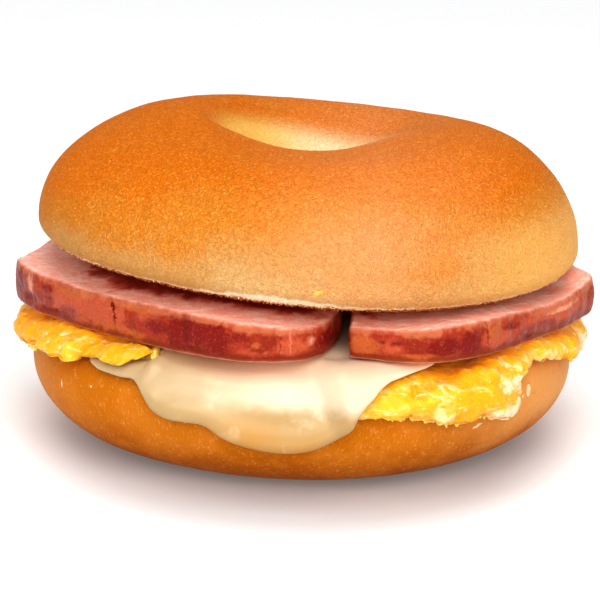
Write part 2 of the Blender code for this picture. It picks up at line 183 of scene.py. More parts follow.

# Places where the upper crust is baked more or less: (amount, angle and half width in degrees, and in metres
# over the cut, where it comes in and within what height, and where it goes out again). The rows at 186 and
# 212 degrees darken the left side and the row at 350 degrees makes the right side paler: besides baking,
# these are painted shade on the left and painted light on the right.
BAKING = (
    (-0.18, 258, 38, -1, 1, 0.002, 0.01), (0.24, 212, 46, 0.003, 0.009, 1, 1),
    (0.3, 186, 22, 0, 0.006, 1, 1), (0.1, 212, 24, 0, 1e-6, 1, 1),
    (0.24, 238, 22, -1, 1, 0.005, 0.008), (0.14, 318, 24, 0.012, 0.007, 1, 1),
    (-0.16, 350, 26, -1, 1, 0.008, 0.01), (0.16, 294, 15, -1, 1, 0.006, 0.008),
    (-0.16, 284, 24, 0.006, 0.006, 0.017, 0.005), (0.18, 297, 12, 0.004, 0.004, 0.013, 0.005),
)

# Loose bits on the skins: (piece, slot, piece that they lie on, finish, how far out they are looked
# for, rows of angle in degrees, height, turn in degrees, and length, width and thickness in
# millimetres)
LOOSE_BITS = (
    ("crumb_bits", "lower_crust", "roll_lower", "crumb", 75, (
        (308.2, 10, 25, 2.6, 0.8, 0.5), (324, 19.5, 70, 2.2, 1.3, 0.5),
        (321.5, 18, 20, 0.9, 0.6, 0.4), (300.5, 13.2, 120, 0.9, 0.5, 0.3),
        (247, 14.6, 60, 0.6, 0.4, 0.3), (223.8, 20.7, 10, 0.5, 0.4, 0.3),
        (212.8, 16, 95, 1.6, 0.4, 0.2), (260, 10.3, 150, 0.5, 0.3, 0.2),
    )),
    ("egg_bits", "egg", "roll_upper", "egg_speck", 75, (
        (272.2, 40.8, 5, 1.9, 1, 0.5), (275.5, 42, 80, 0.5, 0.4, 0.3),
        (237, 44.6, 40, 0.5, 0.4, 0.3), (204.8, 52, 90, 0.5, 0.35, 0.3),
        (282, 41.5, 10, 0.6, 0.4, 0.3),
    )),
    ("egg_crumbs", "egg", "egg_curds", "egg", 50.5, (
        (211.6, 22.6, 20, 4.6, 2.8, 2.2), (214.4, 22.4, 60, 4.6, 2.8, 2.2),
        (233.4, 24.4, 15, 5.2, 3, 2.4), (234.8, 24, 40, 4.4, 2.6, 2.4),
        (236.2, 25.6, 20, 5, 3.4, 2.4), (238.4, 25.2, 60, 4.6, 3, 2.4),
        (240.6, 25, 80, 3.6, 2.4, 2),
    )),
)


def tone(code):
    """A linear colour from the six digits of a screen colour."""
    parts = [int(code[i : i + 2], 16) / 255 for i in (0, 2, 4)]
    return tuple(c / 12.92 if c <= 0.04045 else ((c + 0.055) / 1.055) ** 2.4 for c in parts)


# Settings


def colour(name, description, code):
    return bpy.props.FloatVectorProperty(
        name=name, description=description, default=tone(code), subtype="COLOR", size=3, min=0, max=1
    )


def number(name, description, default, **kind):
    return bpy.props.FloatProperty(name=name, description=description, default=default, **kind)


def length(name, description, metres):
    return number(name, description, metres, unit="LENGTH", subtype="DISTANCE", precision=5, min=0)


def turned(name, description, degrees):
    return number(name, description, math.radians(degrees), subtype="ANGLE")


def whole(name, description, default):
    return bpy.props.IntProperty(name=name, description=description, default=default)


def draw(things, default):
    return whole("Seed", "Another seed gives other " + things, default)


class RollSettings(bpy.types.PropertyGroup):
    brown: colour("Brown Crust", "Its most browned parts", "D4740A")
    orange: colour("Orange Crust", "Its well baked parts", "CC832C")
    gold: colour("Golden Crust", "The upper half's sides", "CA995C")
    pale: colour("Pale Crust", "The band over the cut", "D6B07A")
    # The blush colour is a painted reflection: a pale patch on the front of the upper crust.
    painted_reflection: colour("Painted Reflection", "The paler patch at the front", "ECA072")
    crumb: colour("Crumb", "The bread inside", "F6E4C4")
    toasted: colour("Toasted Crumb", "The browned cut faces", "C97A30")
    under: colour("Lower Crust", "The lower half's side", "C0720C")
    dark_under: colour("Dark Lower Crust", "Near its base", "AC5A00")
    swell_size: length("Swell Size", "Distance between broad swells", 0.016)
    swell_height: length("Swell Height", "Height of broad swells", 0.0003)
    wrinkle_size: length("Wrinkle Size", "Distance between fine wrinkles", 0.0013)
    wrinkle_height: length("Wrinkle Height", "Height of fine wrinkles", 0.00006)
    seed: draw("swells", 4)


class EggSettings(bpy.types.PropertyGroup):
    yellow: colour("Yellow", "The egg's main colour", "FABA24")
    deep: colour("Deep Yellow", "The richest parts", "F0A80A")
    cream: colour("Cream", "Pale streaks", "FFDE90")
    curd_size: length("Curd Size", "Distance between larger folds", 0.0125)
    curd_height: length("Curd Height", "Height of larger folds", 0.001)
    fold_size: length("Fold Size", "Distance between small folds", 0.004)
    fold_height: length("Fold Height", "Height of small folds", 0.0006)
    seed: draw("folds", 7)


class CheeseSettings(bpy.types.PropertyGroup):
    ivory: colour("Ivory", "The cheese's main colour", "B89F74")
    amber: colour("Amber", "Where it is thicker", "C28A34")
    ripple_size: length("Ripple Size", "Distance between soft ripples", 0.0085)
    ripple_height: length("Ripple Height", "Height of soft ripples", 0.00022)
    seed: draw("ripples", 3)


class HamSettings(bpy.types.PropertyGroup):
    lean: colour("Lean", "The slices' faces", "FFBCAA")
    fat: colour("Fat", "Pale marbling", "FFD8C8")
    cured: colour("Cured Side", "The side's main colour", "8F2C17")
    rosy: colour("Rosy Side", "Its paler parts", "BC5A3A")
    deep: colour("Deep Red", "Its dark red places", "7E1210")
    tan: colour("Tan", "Its fried patches", "B86030")
    pale: colour("Pale Side", "Its palest parts", "E0A080")
    mauve: colour("Mauve", "Its dull patches", "8C3830")
    # Browned colours the face under the roll: partly browning and partly painted shade of the roll's
    # overhang.
    browned: colour("Browned", "The face under the roll", "D03A0C")
    burnt: colour("Burnt", "The darkest marks", "701404")
    grain_size: length("Grain Size", "Distance between fibres", 0.0024)
    grain_height: length("Grain Height", "Height of fibres", 0.00016)
    crease_height: length("Crease Height", "Height of the side's creases", 0.00036)
    seed: draw("fibres", 11)


class CrumbSettings(bpy.types.PropertyGroup):
    fringe_count: whole("Fringe Crumbs", "Crumbs along the front of the upper half's cut", 1500)
    fringe_size: length("Fringe Crumb Size", "Length of such a crumb", 0.00062)
    flake_count: whole("Egg Flakes", "Small torn flakes along the egg's edge", 50)
    flake_size: length("Egg Flake Size", "Length of such a flake", 0.0022)
    seed: draw("crumbs", 21)


class StageSettings(bpy.types.PropertyGroup):
    floor: colour("Floor", "The table top", "E9E9EA")
    # The shade colour is a painted shadow on the table top around the sandwich.
    shade: colour("Shade", "The table top close to the object", "BEBABA")
    floor_size: length("Floor Size", "Width of the table top", 6.0)
    camera_distance: length("Camera Distance", "From the camera to the sandwich", 0.52)
    lens: number("Lens", "Focal length in millimetres", 148.2)
    elevation: turned("Elevation", "The camera's height as an angle", 15)
    roll: turned("Roll", "The camera's tilt to one side", 1.3)
    sky: number("Sky", "Light from all round", 0.5)
    window: number("Window Light", "Strength of the broad light from above", 1.5)
    window_width: turned("Window Width", "How broad that light looks from the sandwich", 50)
    front_left: number("Left Light", "Power of the lamp at the front left", 2.25, unit="POWER")
    front_right: number("Right Light", "Power of the lamp at the front right", 2.45, unit="POWER")
    front_width: length("Front Light Width", "How wide those lamps are", 0.5)
    glow: number("Table Glow", "Light that the table top gives by itself", 0.15)
    contrast: number("Contrast", "How much deeper the picture's darker tones are", 0.18)


def settings_of(kind):
    return bpy.props.PointerProperty(type=kind)


class SandwichSettings(bpy.types.PropertyGroup):
    roll: settings_of(RollSettings)
    egg: settings_of(EggSettings)
    cheese: settings_of(CheeseSettings)
    ham: settings_of(HamSettings)
    crumbs: settings_of(CrumbSettings)
    stage: settings_of(StageSettings)


# Shapes shared with the model


def smooth(t, start=0.0, width=1.0):
    """0 up to the start, 1 from a width further on, and an S curve between."""
    t = np.clip((t - start) / width, 0.0, 1.0)
    return t * t * (3 - 2 * t)


def wave(angle, terms):
    """A sum of (amount, waves round the ring, phase in degrees)."""
    return sum(a * np.cos(n * angle + math.radians(p)) for a, n, p in terms)


def hump(angle, centre, width):
    """A bell round the ring, 1 at its centre. The centre and the width are in degrees."""
    away = (np.degrees(angle) - centre + 180) % 360 - 180
    return np.exp(-((away / width) ** 2))


def rim(inset, width):
    """1 on an outline, 0 from width inwards, and a quarter round between."""
    t = np.clip(1 - inset / width, 0.0, 1.0)
    return 1 - np.sqrt(1 - t * t)


def lumps(x, y, size, seed):
    """Smooth noise between about -1 and 1."""
    return np.array([noise.noise(Vector((a / size, b / size, seed))) for a, b in zip(x, y)]) * 1.6


def polar(outline):
    """An outline of (angle, reach) as metres in the plane of angle and reach."""
    return [(r * math.cos(math.radians(a)), r * math.sin(math.radians(a))) for a, r in outline]


def far_along(points):
    """How far along a row of points each of them lies."""
    return np.concatenate([[0], np.cumsum(np.linalg.norm(np.diff(points, axis=0), axis=1))])


def evenly(points, count):
    """Evenly spaced places along a row of points, without its last one."""
    along = far_along(points)
    where = np.arange(count) * along[-1] / count
    return np.column_stack([np.interp(where, along, points[:, k]) for k in (0, 1)])


def even_curve(points, spacing):
    """Evenly spaced points, in metres, along a smooth closed curve through points in millimetres."""
    p = np.array(points) / 1000
    ahead = np.roll(p, -1, 0) - p
    size = np.linalg.norm(ahead, axis=1)[:, None]
    slope = ahead / size
    behind, before = np.roll(slope, 1, 0), np.roll(size, 1, 0)
    tangent = (slope * before + behind * size) / (size + before)
    t = np.linspace(0, 1, 24, endpoint=False)[None, :, None]
    start, end = p[:, None], np.roll(p, -1, 0)[:, None]
    leave, arrive = (tangent * size)[:, None], (np.roll(tangent, -1, 0) * size)[:, None]
    fine = start * (2 * t**3 - 3 * t**2 + 1) + end * (3 * t**2 - 2 * t**3)
    fine = (fine + leave * (t**3 - 2 * t**2 + t) + arrive * (t**3 - t**2)).reshape(-1, 2)
    closed = np.vstack([fine, fine[:1]])
    return evenly(closed, round(far_along(closed)[-1] / spacing))


def around(radius, angle, *height):
    """Points at these radii and angles."""
    return np.column_stack([radius * np.cos(angle), radius * np.sin(angle), *height])


def depth(x, y, outline):
    """How far inside the outline each place is. It is less than 0 outside."""
    found = []
    a, b = outline, np.roll(outline, -1, 0)
    step = b - a
    for i in range(0, len(x), 2000):
        px, py = x[i : i + 2000, None] - a[:, 0], y[i : i + 2000, None] - a[:, 1]
        t = np.clip((px * step[:, 0] + py * step[:, 1]) / (step**2).sum(1), 0, 1)
        away = np.sqrt(((px - t * step[:, 0]) ** 2 + (py - t * step[:, 1]) ** 2).min(1))
        high = y[i : i + 2000, None]
        crosses = (a[:, 1] > high) != (b[:, 1] > high)
        run = np.where(step[:, 1] == 0, 1e-12, step[:, 1])
        at = a[:, 0] + (high - a[:, 1]) / run * step[:, 0]
        inside = (crosses & (x[i : i + 2000, None] < at)).sum(1) % 2 == 1
        found.append(np.where(inside, away, -away))
    return np.concatenate(found)


def heel_swell(angle, radius, height):
    """How far the lower half's crust stands out from a true round."""
    low = np.clip(1 - height / HEEL_BELLY, 0, 1)
    uneven = wave(angle, ((0.0004, 2, -105), (0.0002, 3, 110), (0.0002, 5, 40)))
    shift = low * BASE_SHIFT * np.cos(angle - BASE_SHIFT_ANGLE)
    return smooth(radius, 0.03, 0.02) * (uneven + shift)


# Steps along the parts of the two halves' sections
RIM_STEPS = 60
HEEL_CUT_STEPS = 36
CROWN_CUT_STEPS = 34
LIP_STEPS = 10
SIDE_STEPS = 58

# The fillings are hidden between the halves up to this radius
HIDDEN = 0.0445


def heel_rim():
    """Rows of (radius, height, outward and upward part of the normal) from the rim to the base."""
    turn = np.linspace(0, math.pi / 2, RIM_STEPS + 1)
    rows = []
    for centre, across, up, s, c in (
        (HEEL_FACE, HEEL_RADIUS - HEEL_FACE, HEEL_TOP - HEEL_BELLY, np.sin(turn), np.cos(turn)),
        (BASE_OUTER, HEEL_RADIUS - BASE_OUTER, -HEEL_BELLY, np.cos(turn)[1:], np.sin(turn)[1:]),
    ):
        size = np.hypot(s / across, c / up)
        rows.append(
            np.column_stack([centre + across * s, HEEL_BELLY + up * c, s / across / size, c / up / size])
        )
    return np.vstack(rows)


SKIN = heel_rim()
SKIN_REACH = HEEL_FACE + far_along(SKIN[:, :2])


def on_skin(x, y, height):
    """Points at a height over the lower half's skin."""
    angle, reach = np.arctan2(y, x), np.hypot(x, y)
    radius, z, out, up = (np.interp(reach, SKIN_REACH, SKIN[:, k]) for k in range(4))
    radius = np.where(reach < HEEL_FACE, reach, radius)
    radius = radius + heel_swell(angle, radius, z) + out * height
    return around(radius, angle, z + up * height)


def crown_belly(angle):
    """The upper half's radius where it is widest."""
    return CROWN_RADIUS + wave(angle, ((0.0006, 1, 0), (0.0004, 2, 90), (0.0002, 5, 10)))


def crown_cut(x, y):
    """Height of the upper half's cut face."""
    curl = CROWN_LIFT * hump(np.arctan2(y, x), 232, 40) * (np.hypot(x, y) / CROWN_RADIUS) ** 3
    return CROWN_CUT + CROWN_CUT_SLOPE * x + curl


def funnel_height(angle, radius, crest, top):
    """Height of the slope into the hole. It is steepest at the front."""
    square = 1.7 + 0.37 * np.cos(angle) + 1.5 * np.maximum(-np.sin(angle), 0) ** 1.15
    base = CROWN_CUT + FUNNEL_RISE
    across = np.clip((crest - radius) / (crest - FUNNEL_RADIUS), 0, 1)
    return base + (top - base) * (1 - across**square) ** (1 / square)


def ham_arch(x, y):
    """Height of an even slice's upper face: it arches up to the upper half's cut face."""
    edge = HAM_TOP + HAM_SIDE_RISE * smooth(np.abs(x) / 0.05)
    under_crown = CROWN_CUT + CROWN_CUT_SLOPE * x - GAP
    edge = edge + np.minimum(HAM_BACK_RISE, under_crown - edge) * smooth((y + 0.004) / 0.045)
    return edge + (under_crown - edge) * (1 - smooth(np.hypot(x, y), 0.026, 0.027))


def ham_top(x, y):
    """Height of the ham's upper face, where it is thicker at the front left and thinner at the right."""
    swell = HAM_SWELL * np.exp(-(((x + 0.017) / 0.019) ** 2)) * (1 - smooth((y + 0.05) / 0.03))
    sag = HAM_SAG * np.exp(-(((x - 0.05) / 0.01) ** 2)) * (1 - smooth((y + 0.016) / 0.01))
    return ham_arch(x, y) + swell - sag


def ham_base(x, y):
    """Height of its lower face."""
    return ham_arch(x, y) - HAM_THICKNESS - HAM_SIDE_THICKNESS * smooth(np.abs(x) / 0.052)


def ham_faces(x, y, inset):
    """Heights of its two faces, rounded off at its edge."""
    off = HAM_ROUND * rim(inset, HAM_ROUND)
    return ham_top(x, y) - off, ham_base(x, y) + off


def upright(x, y, height):
    return np.column_stack([x, y, height])


EGG_EDGE = even_curve(polar(EGG_OUTLINE), 0.0007)
CHEESE_EDGE = even_curve(polar(CHEESE_OUTLINE), 0.0006)


def tucked(x, y):
    """1 where a wing of the cheese lies under the egg, at the front left."""
    angle = np.degrees(np.arctan2(y, x)) % 360
    over_rim = smooth(np.hypot(x, y), 0.0496, 0.0018)
    return over_rim * smooth(angle, 218, 4) * (1 - smooth(angle, 236.5, 4))


def clear_of_rim(x, y):
    """Clearance over the skin, a little wider on the rim."""
    return GAP + 0.0005 * smooth(np.hypot(x, y), 0.0485, 0.0025)


def egg_height(x, y):
    """Height of the egg's upper face over the skin, away from its edge."""
    out = smooth(np.hypot(x, y), 0.0525, 0.005)
    room = ham_base(x, y) - HEEL_TOP - clear_of_rim(x, y)
    cheese = smooth((depth(x, y, CHEESE_EDGE) + 0.0045) / 0.003) * (1 - tucked(x, y))
    spill = out * (EGG_SPILL + EGG_LUMP * lumps(x, y, 0.0095, 3.3))
    room = room + smooth(np.hypot(x, y), 0.046, 0.006) * (np.minimum(room, EGG_OVER_RIM) - room)
    return room - cheese * (CHEESE_THICKNESS + 2 * GAP) + spill


def egg_faces(x, y, inset):
    """Heights of its two faces over the skin, rounded off at its edge."""
    top = egg_height(x, y)
    base = (CHEESE_THICKNESS + 0.0006) * tucked(x, y) * (1 - smooth(inset, 0.0015, 0.004))
    base = clear_of_rim(x, y) + base
    off = 0.46 * (top - base) * rim(inset, EGG_ROUND)
    return top - off, base + off


def cheese_faces(x, y, inset):
    """Heights of the cheese's two faces. It is draped over the egg where that lies under it."""
    over_egg = smooth((depth(x, y, EGG_EDGE) + 0.0055) / 0.0058)
    base = clear_of_rim(x, y) + (egg_height(x, y) + 0.0002) * over_egg * (1 - tucked(x, y))
    drip = smooth(np.hypot(x, y), 0.054, 0.004) * (1 - smooth(inset, 0.0015, 0.004))
    thickness = CHEESE_THICKNESS + CHEESE_DRIP * drip
    high = base + thickness * (1 - 0.45 * rim(inset, CHEESE_ROUND))
    return high, base + thickness * 0.45 * rim(inset, 0.8 * CHEESE_ROUND)


# Meshes


def placed(name, data):
    """An object of this data in the scene."""
    piece = bpy.data.objects.new(name, data)
    bpy.context.scene.collection.objects.link(piece)
    return piece


def object_from(name, points, faces, values):
    """A smooth shaded object whose points carry named values, with its faces pointing out."""
    data = bpy.data.meshes.new(name)
    data.from_pydata([tuple(p) for p in points], [], faces)
    mesh = bmesh.new()
    mesh.from_mesh(data)
    bmesh.ops.recalc_face_normals(mesh, faces=mesh.faces)
    mesh.to_mesh(data)
    mesh.free()
    for key, value in values.items():
        data.attributes.new(key, "FLOAT", "POINT").data.foreach_set("value", np.asarray(value, dtype=float))
    data.shade_smooth()
    return placed(name, data)


def ring(name, sections, values):
    """A closed ring through closed sections, which are an array of (section, point, xyz)."""
    steps, count = sections.shape[:2]
    here = np.arange(steps * count).reshape(steps, count)
    there = np.roll(here, -1, 0)
    faces = np.stack([here, there, np.roll(there, -1, 1), np.roll(here, -1, 1)], -1).reshape(-1, 4)
    return object_from(name, sections.reshape(-1, 3), faces.tolist(), values)


def section(*rows):
    """Points along rows of (corners, number of steps), one after the other."""
    return np.vstack([evenly(np.array(points), count) for points, count in rows])


def heel_ring(steps):
    """The lower half, with rise for the height and face for its cut face."""
    curve = SKIN[:, :2]
    turn = np.linspace(0, math.pi / 2, 24)
    inner = np.column_stack(
        [BASE_INNER - (BASE_INNER - HOLE_RADIUS) * np.sin(turn), HOLE_ROUND * (1 - np.cos(turn))]
    )
    flat = section(
        (((HOLE_RADIUS, HEEL_TOP), (HEEL_FACE, HEEL_TOP)), HEEL_CUT_STEPS),
        (curve[: RIM_STEPS + 1], 14),
        (curve[RIM_STEPS:], 44),
        (((BASE_OUTER, 0), (BASE_INNER, 0)), 14),
        (inner, 12),
        (((HOLE_RADIUS, HOLE_ROUND), (HOLE_RADIUS, HEEL_TOP)), 8),
    )
    angle = (np.arange(steps) * math.tau / steps)[:, None]
    r, z = (np.repeat(flat[None, :, k], steps, 0) for k in (0, 1))
    r = r + heel_swell(angle, r, z)
    sections = np.stack([r * np.cos(angle), r * np.sin(angle), z], -1)
    free = smooth(r, 0.03, 0.008) * smooth(z, 0, 0.003)
    face = (np.arange(len(flat)) < HEEL_CUT_STEPS) * np.ones_like(r)
    return ring("roll_lower", sections, {"free": free.ravel(), "face": face.ravel(), "rise": z.ravel()})


def crown_ring(steps):
    """The upper half, with rise for the height over the cut, brown for its baking with painted light and
    shade, and face for the cut.
    """
    sections, values = [], []
    lip_turn = np.radians(np.linspace(30, 90, 30))
    out = 1 - (1 - np.sin(lip_turn)) / (1 - math.sin(math.radians(30)))
    up = 1 - np.cos(lip_turn) / math.cos(math.radians(30))
    turn = np.linspace(0, math.pi / 2, 90)
    for i in range(steps):
        angle = math.tau * i / steps
        belly = crown_belly(angle)
        edge = belly - CROWN_LIP
        crest = CREST_RADIUS + wave(angle, ((0.002, 1, -86), (0.004, 2, 175)))
        top = CREST_HEIGHT + wave(angle, ((0.0009, 1, 149), (0.0016, 2, 37)))
        cut = float(crown_cut(edge * math.cos(angle), edge * math.sin(angle)))
        low = cut + CROWN_LIP_RISE
        side = np.column_stack([crest + (belly - crest) * np.cos(turn), low + (top - low) * np.sin(turn)])
        r = crest - (crest - THROAT_RADIUS) * np.linspace(0, 1, 90)
        inner = np.column_stack([r, funnel_height(angle, r, crest, top)])
        flat = section(
            (((THROAT_RADIUS, 0), (edge, 0)), CROWN_CUT_STEPS),
            (np.column_stack([edge + CROWN_LIP * out, cut + CROWN_LIP_RISE * up]), LIP_STEPS),
            (side, SIDE_STEPS),
            (inner, 40),
            ((inner[-1], (THROAT_RADIUS, CROWN_CUT)), 12),
        )
        r, z = flat[:, 0], flat[:, 1]
        shift = CREST_SHIFT * (1 - smooth(r, 0.026, 0.03))
        x, y = r * math.cos(angle) + shift, r * math.sin(angle)
        z[:CROWN_CUT_STEPS] = crown_cut(x[:CROWN_CUT_STEPS], y[:CROWN_CUT_STEPS])
        z[CROWN_CUT_STEPS] = cut
        sections.append(np.column_stack([x, y, z]))
        order = np.arange(len(r))
        down = top - z - 0.0022 * float(hump(angle, 80, 75))
        hollow = (order >= CROWN_CUT_STEPS + LIP_STEPS + SIDE_STEPS) * smooth(down, 0, 0.0046)
        values.append(np.column_stack([z - cut, order < CROWN_CUT_STEPS, hollow]))
    sections, (rise, face, hollow) = np.array(sections), np.vstack(values).T
    x, y, z = sections.reshape(-1, 3).T
    rise = np.where(face > 0, 0, rise)
    ragged = (1 - smooth(rise, 0.0004, 0.0015)) * (1 - face) * (np.hypot(x, y) > 0.04)
    return ring("roll_upper", sections, {
        "free": smooth(rise, 0, 0.004) * (1 - face), "face": face, "hollow": hollow, "ragged": ragged,
        "rise": rise, "torn": hump(np.arctan2(y, x), 263, 10), "brown": browning(x, y, rise, hollow),
    })


def browning(x, y, rise, hollow):
    """How well the upper crust is baked, from 0 to 1, with painted shade on its left side and painted light
    on its right side.
    """
    angle = np.arctan2(y, x)
    baked = 0.17 + 0.66 * smooth(rise, 0.003, 0.02) + 0.16 * smooth(rise, 0.018, 0.004) - 0.55 * hollow
    for amount, centre, width, low, low_width, high, high_width in BAKING:
        shown = smooth(rise, low, low_width) * (1 - smooth(rise, high, high_width))
        baked = baked + amount * hump(angle, centre, width) * shown
    return np.clip(baked, 0, 1.1)


def rings_of_points(low, high, spacing):
    """Places on circles round the axis, spacing apart."""
    found = []
    radii = np.arange(low, high, spacing * 0.87)
    for i, radius in enumerate(radii):
        count = max(round(math.tau * radius / spacing), 1)
        angles = (np.arange(count) + 0.5 * (i % 2)) * math.tau / count
        found.append(around(radius, angles))
    return np.vstack(found)


def inward(outline):
    """Unit steps from each of its points towards the inside."""
    run = np.roll(outline, -1, 0) - np.roll(outline, 1, 0)
    step = np.column_stack([-run[:, 1], run[:, 0]])
    step /= np.linalg.norm(step, axis=1)[:, None]
    probe = outline + step * 1e-5
    return -step if depth(probe[:, 0], probe[:, 1], outline).sum() < 0 else step


def sheet_points(outline, insets, inner, clearance):
    """The outline, then copies of it further in, then the inner places well inside those."""
    step = inward(outline)
    points = [outline]
    for inset in insets:
        moved = outline + step * inset
        points.append(moved[depth(moved[:, 0], moved[:, 1], outline) > inset * 0.93])
    points.append(inner[depth(inner[:, 0], inner[:, 1], outline) > insets[-1] + clearance])
    return np.vstack(points)


def slab(name, outline, round_width, inner, clearance, heights, place, rows, bulge, more):
    """A closed sheet with rounded edges. Its points know side, down the side, and their inset."""
    insets = [round_width * (1 - math.cos(math.radians(a))) for a in (24, 40, 54, 67, 79, 90)]
    points, faces, values, rims = [], [], [], []

    def add(spots, side, down, inset):
        """New points, and the numbers of those on the outline."""
        first = sum(len(p) for p in points)
        points.append(spots)
        values.append(np.column_stack([c * np.ones(len(spots)) for c in (side, down, inset)]))
        rims.append(np.arange(len(outline)) + first)
        return first

    for k in (0, 1):
        sheet = sheet_points(outline, insets, inner, clearance)
        x, y = sheet.T
        inset = np.maximum(depth(x, y, outline), 0)
        side = 1 - smooth(inset / (round_width * 0.5))
        first = add(place(x, y, heights(x, y, inset)[k]), side, k, inset)
        flat = [Vector((float(a), float(b))) for a, b in sheet]
        made = delaunay_2d_cdt(flat, [], [list(range(len(outline)))], 1, 1e-7)
        faces += [[made[3][i][0] + first for i in face] for face in made[2]]
    top, base = heights(*outline.T, np.zeros(len(outline)))
    step = inward(outline)
    for i in range(1, rows):
        s = i / rows
        moved = outline - step * bulge * math.sin(math.pi * s)
        add(place(*moved.T, top + (base - top) * s), 1, s, 0)
    rims.append(rims.pop(1))
    for upper, lower in zip(rims, rims[1:]):
        faces += np.stack([upper, np.roll(upper, -1), np.roll(lower, -1), lower], -1).tolist()
    points = np.vstack(points)
    known = dict(zip(("side", "down", "inset"), np.vstack(values).T))
    return object_from(name, points, faces, {**known, **more(points, known)})


# Node trees


def node(tree, kind, inputs=None, **settings):
    """A new node with its settings made and its inputs set, or linked where they are fields."""
    made = tree.nodes.new(kind)
    order = len(tree.nodes)
    made.location = (200 * (order % 9) - 1800, -260 * (order // 9))
    for key, value in settings.items():
        setattr(made, key, value)
    for key, value in (inputs or {}).items():
        if isinstance(value, Field):
            tree.links.new(value.socket, made.inputs[key])
        else:
            made.inputs[key].default_value = value
    return made


def sign(operation, swapped=False):
    """What a sign between fields does: it makes a maths node."""
    return lambda a, b=0.0: a.maths(operation, *((b, a) if swapped else (a, b)))


class Field:
    """An output of a new node, which can be reckoned with like a number."""

    def __init__(self, tree, kind, inputs=None, output=0, **settings):
        self.tree = tree
        self.socket = node(tree, kind, inputs, **settings).outputs[output]

    def maths(self, operation, a, b=0.0):
        return Field(self.tree, "ShaderNodeMath", {0: a, 1: b}, operation=operation)

    def vector(self, operation, inputs, output=0):
        """Vector maths with this field first."""
        return Field(self.tree, "ShaderNodeVectorMath", {0: self, **inputs}, output, operation=operation)

    __add__, __mul__, __sub__, __abs__ = (sign(name) for name in ("ADD", "MULTIPLY", "SUBTRACT", "ABSOLUTE"))
    __rsub__, __rtruediv__ = sign("SUBTRACT", True), sign("DIVIDE", True)

    def spread(self, low, high, most=1.0):
        """0 at low and the most at high, without running past either."""
        inputs = {"Value": self, "From Min": low, "From Max": high, "To Max": most}
        return Field(self.tree, "ShaderNodeMapRange", inputs, interpolation_type="SMOOTHSTEP")

    def ridges(self, sharpness):
        """1 where the value is a half, falling away on both sides."""
        return Field(self.tree, "ShaderNodeClamp", {0: 1.0 - abs(self - 0.5) * sharpness})


def blend(factor, *colours):
    """The first colour where the factor is 0 and the second where it is 1."""
    first, second = (
        c if isinstance(c, Field) else (*(tone(c) if isinstance(c, str) else c), 1) for c in colours
    )
    inputs = {0: factor, 6: first, 7: second}
    return Field(factor.tree, "ShaderNodeMix", inputs, 2, data_type="RGBA")


def layered(skin, *layers):
    """A colour under layers of (amount, colour)."""
    for amount, shade in layers:
        skin = blend(amount, skin, shade)
    return skin


class Tree:
    """A node tree under way."""

    def new(self, kind, inputs=None, output=0, **settings):
        return Field(self.tree, kind, inputs, output, **settings)

    def noise(self, vector, size, seed, detail, distortion, roughness=0.5):
        """Noise whose features are about this size in metres."""
        inputs = {
            "Vector": vector, "W": seed, "Scale": 1.0 / size, "Detail": detail,
            "Roughness": roughness, "Distortion": distortion,
        }
        return self.new("ShaderNodeTexNoise", inputs, noise_dimensions="4D")


class Finish(Tree):
    """A material under way, with its Object coordinates."""

    def __init__(self, name):
        self.material = bpy.data.materials.new(name)
        self.material.use_nodes = True
        self.tree = self.material.node_tree
        self.where = self.new("ShaderNodeTexCoord", output="Object")

    def carried(self, *names):
        """Values that the mesh carries."""
        return [self.new("ShaderNodeAttribute", output="Fac", attribute_name=name) for name in names]

    def axis(self, name):
        return self.new("ShaderNodeSeparateXYZ", {0: self.where}, name)

    def reach(self):
        """Distance from the upright axis."""
        return self.where.vector("MULTIPLY", {1: (1, 1, 0)}).vector("LENGTH", {}, "Value")

    def mottle(self, size, detail, roughness=0.5, distortion=0.0, seed=0.0, scale=None, turn=(0, 0, 0)):
        """Noise, where a scale and a turn stretch it one way."""
        where = self.where
        if scale:
            where = self.new("ShaderNodeMapping", {"Vector": where, "Rotation": turn, "Scale": scale})
        return self.noise(where, size, seed, detail, distortion, roughness)

    def shade(self, **inputs):
        """The material, once its shader's inputs are set or linked."""
        shader = self.tree.nodes["Principled BSDF"]
        for key, value in inputs.items():
            taken = shader.inputs[key.replace("_", " ")]
            if isinstance(value, Field):
                self.tree.links.new(value.socket, taken)
            else:
                taken.default_value = value
        shader.location = (200, 200)
        self.tree.nodes["Material Output"].location = (500, 200)
        return self.material

    def done(self, skin, rough, height, distance, strength=1.0, **fixed):
        """The material with a bump from this height."""
        inputs = {"Strength": strength, "Distance": distance, "Height": height}
        bump = self.new("ShaderNodeBump", inputs)
        return self.shade(Base_Color=skin, Roughness=rough, Normal=bump, **fixed)

    def inside(self, s):
        """The colour of the cut bread."""
        return blend(self.mottle(0.006, 5, 0.65).spread(0.42, 0.62), s.crumb, s.toasted)


# Finishes


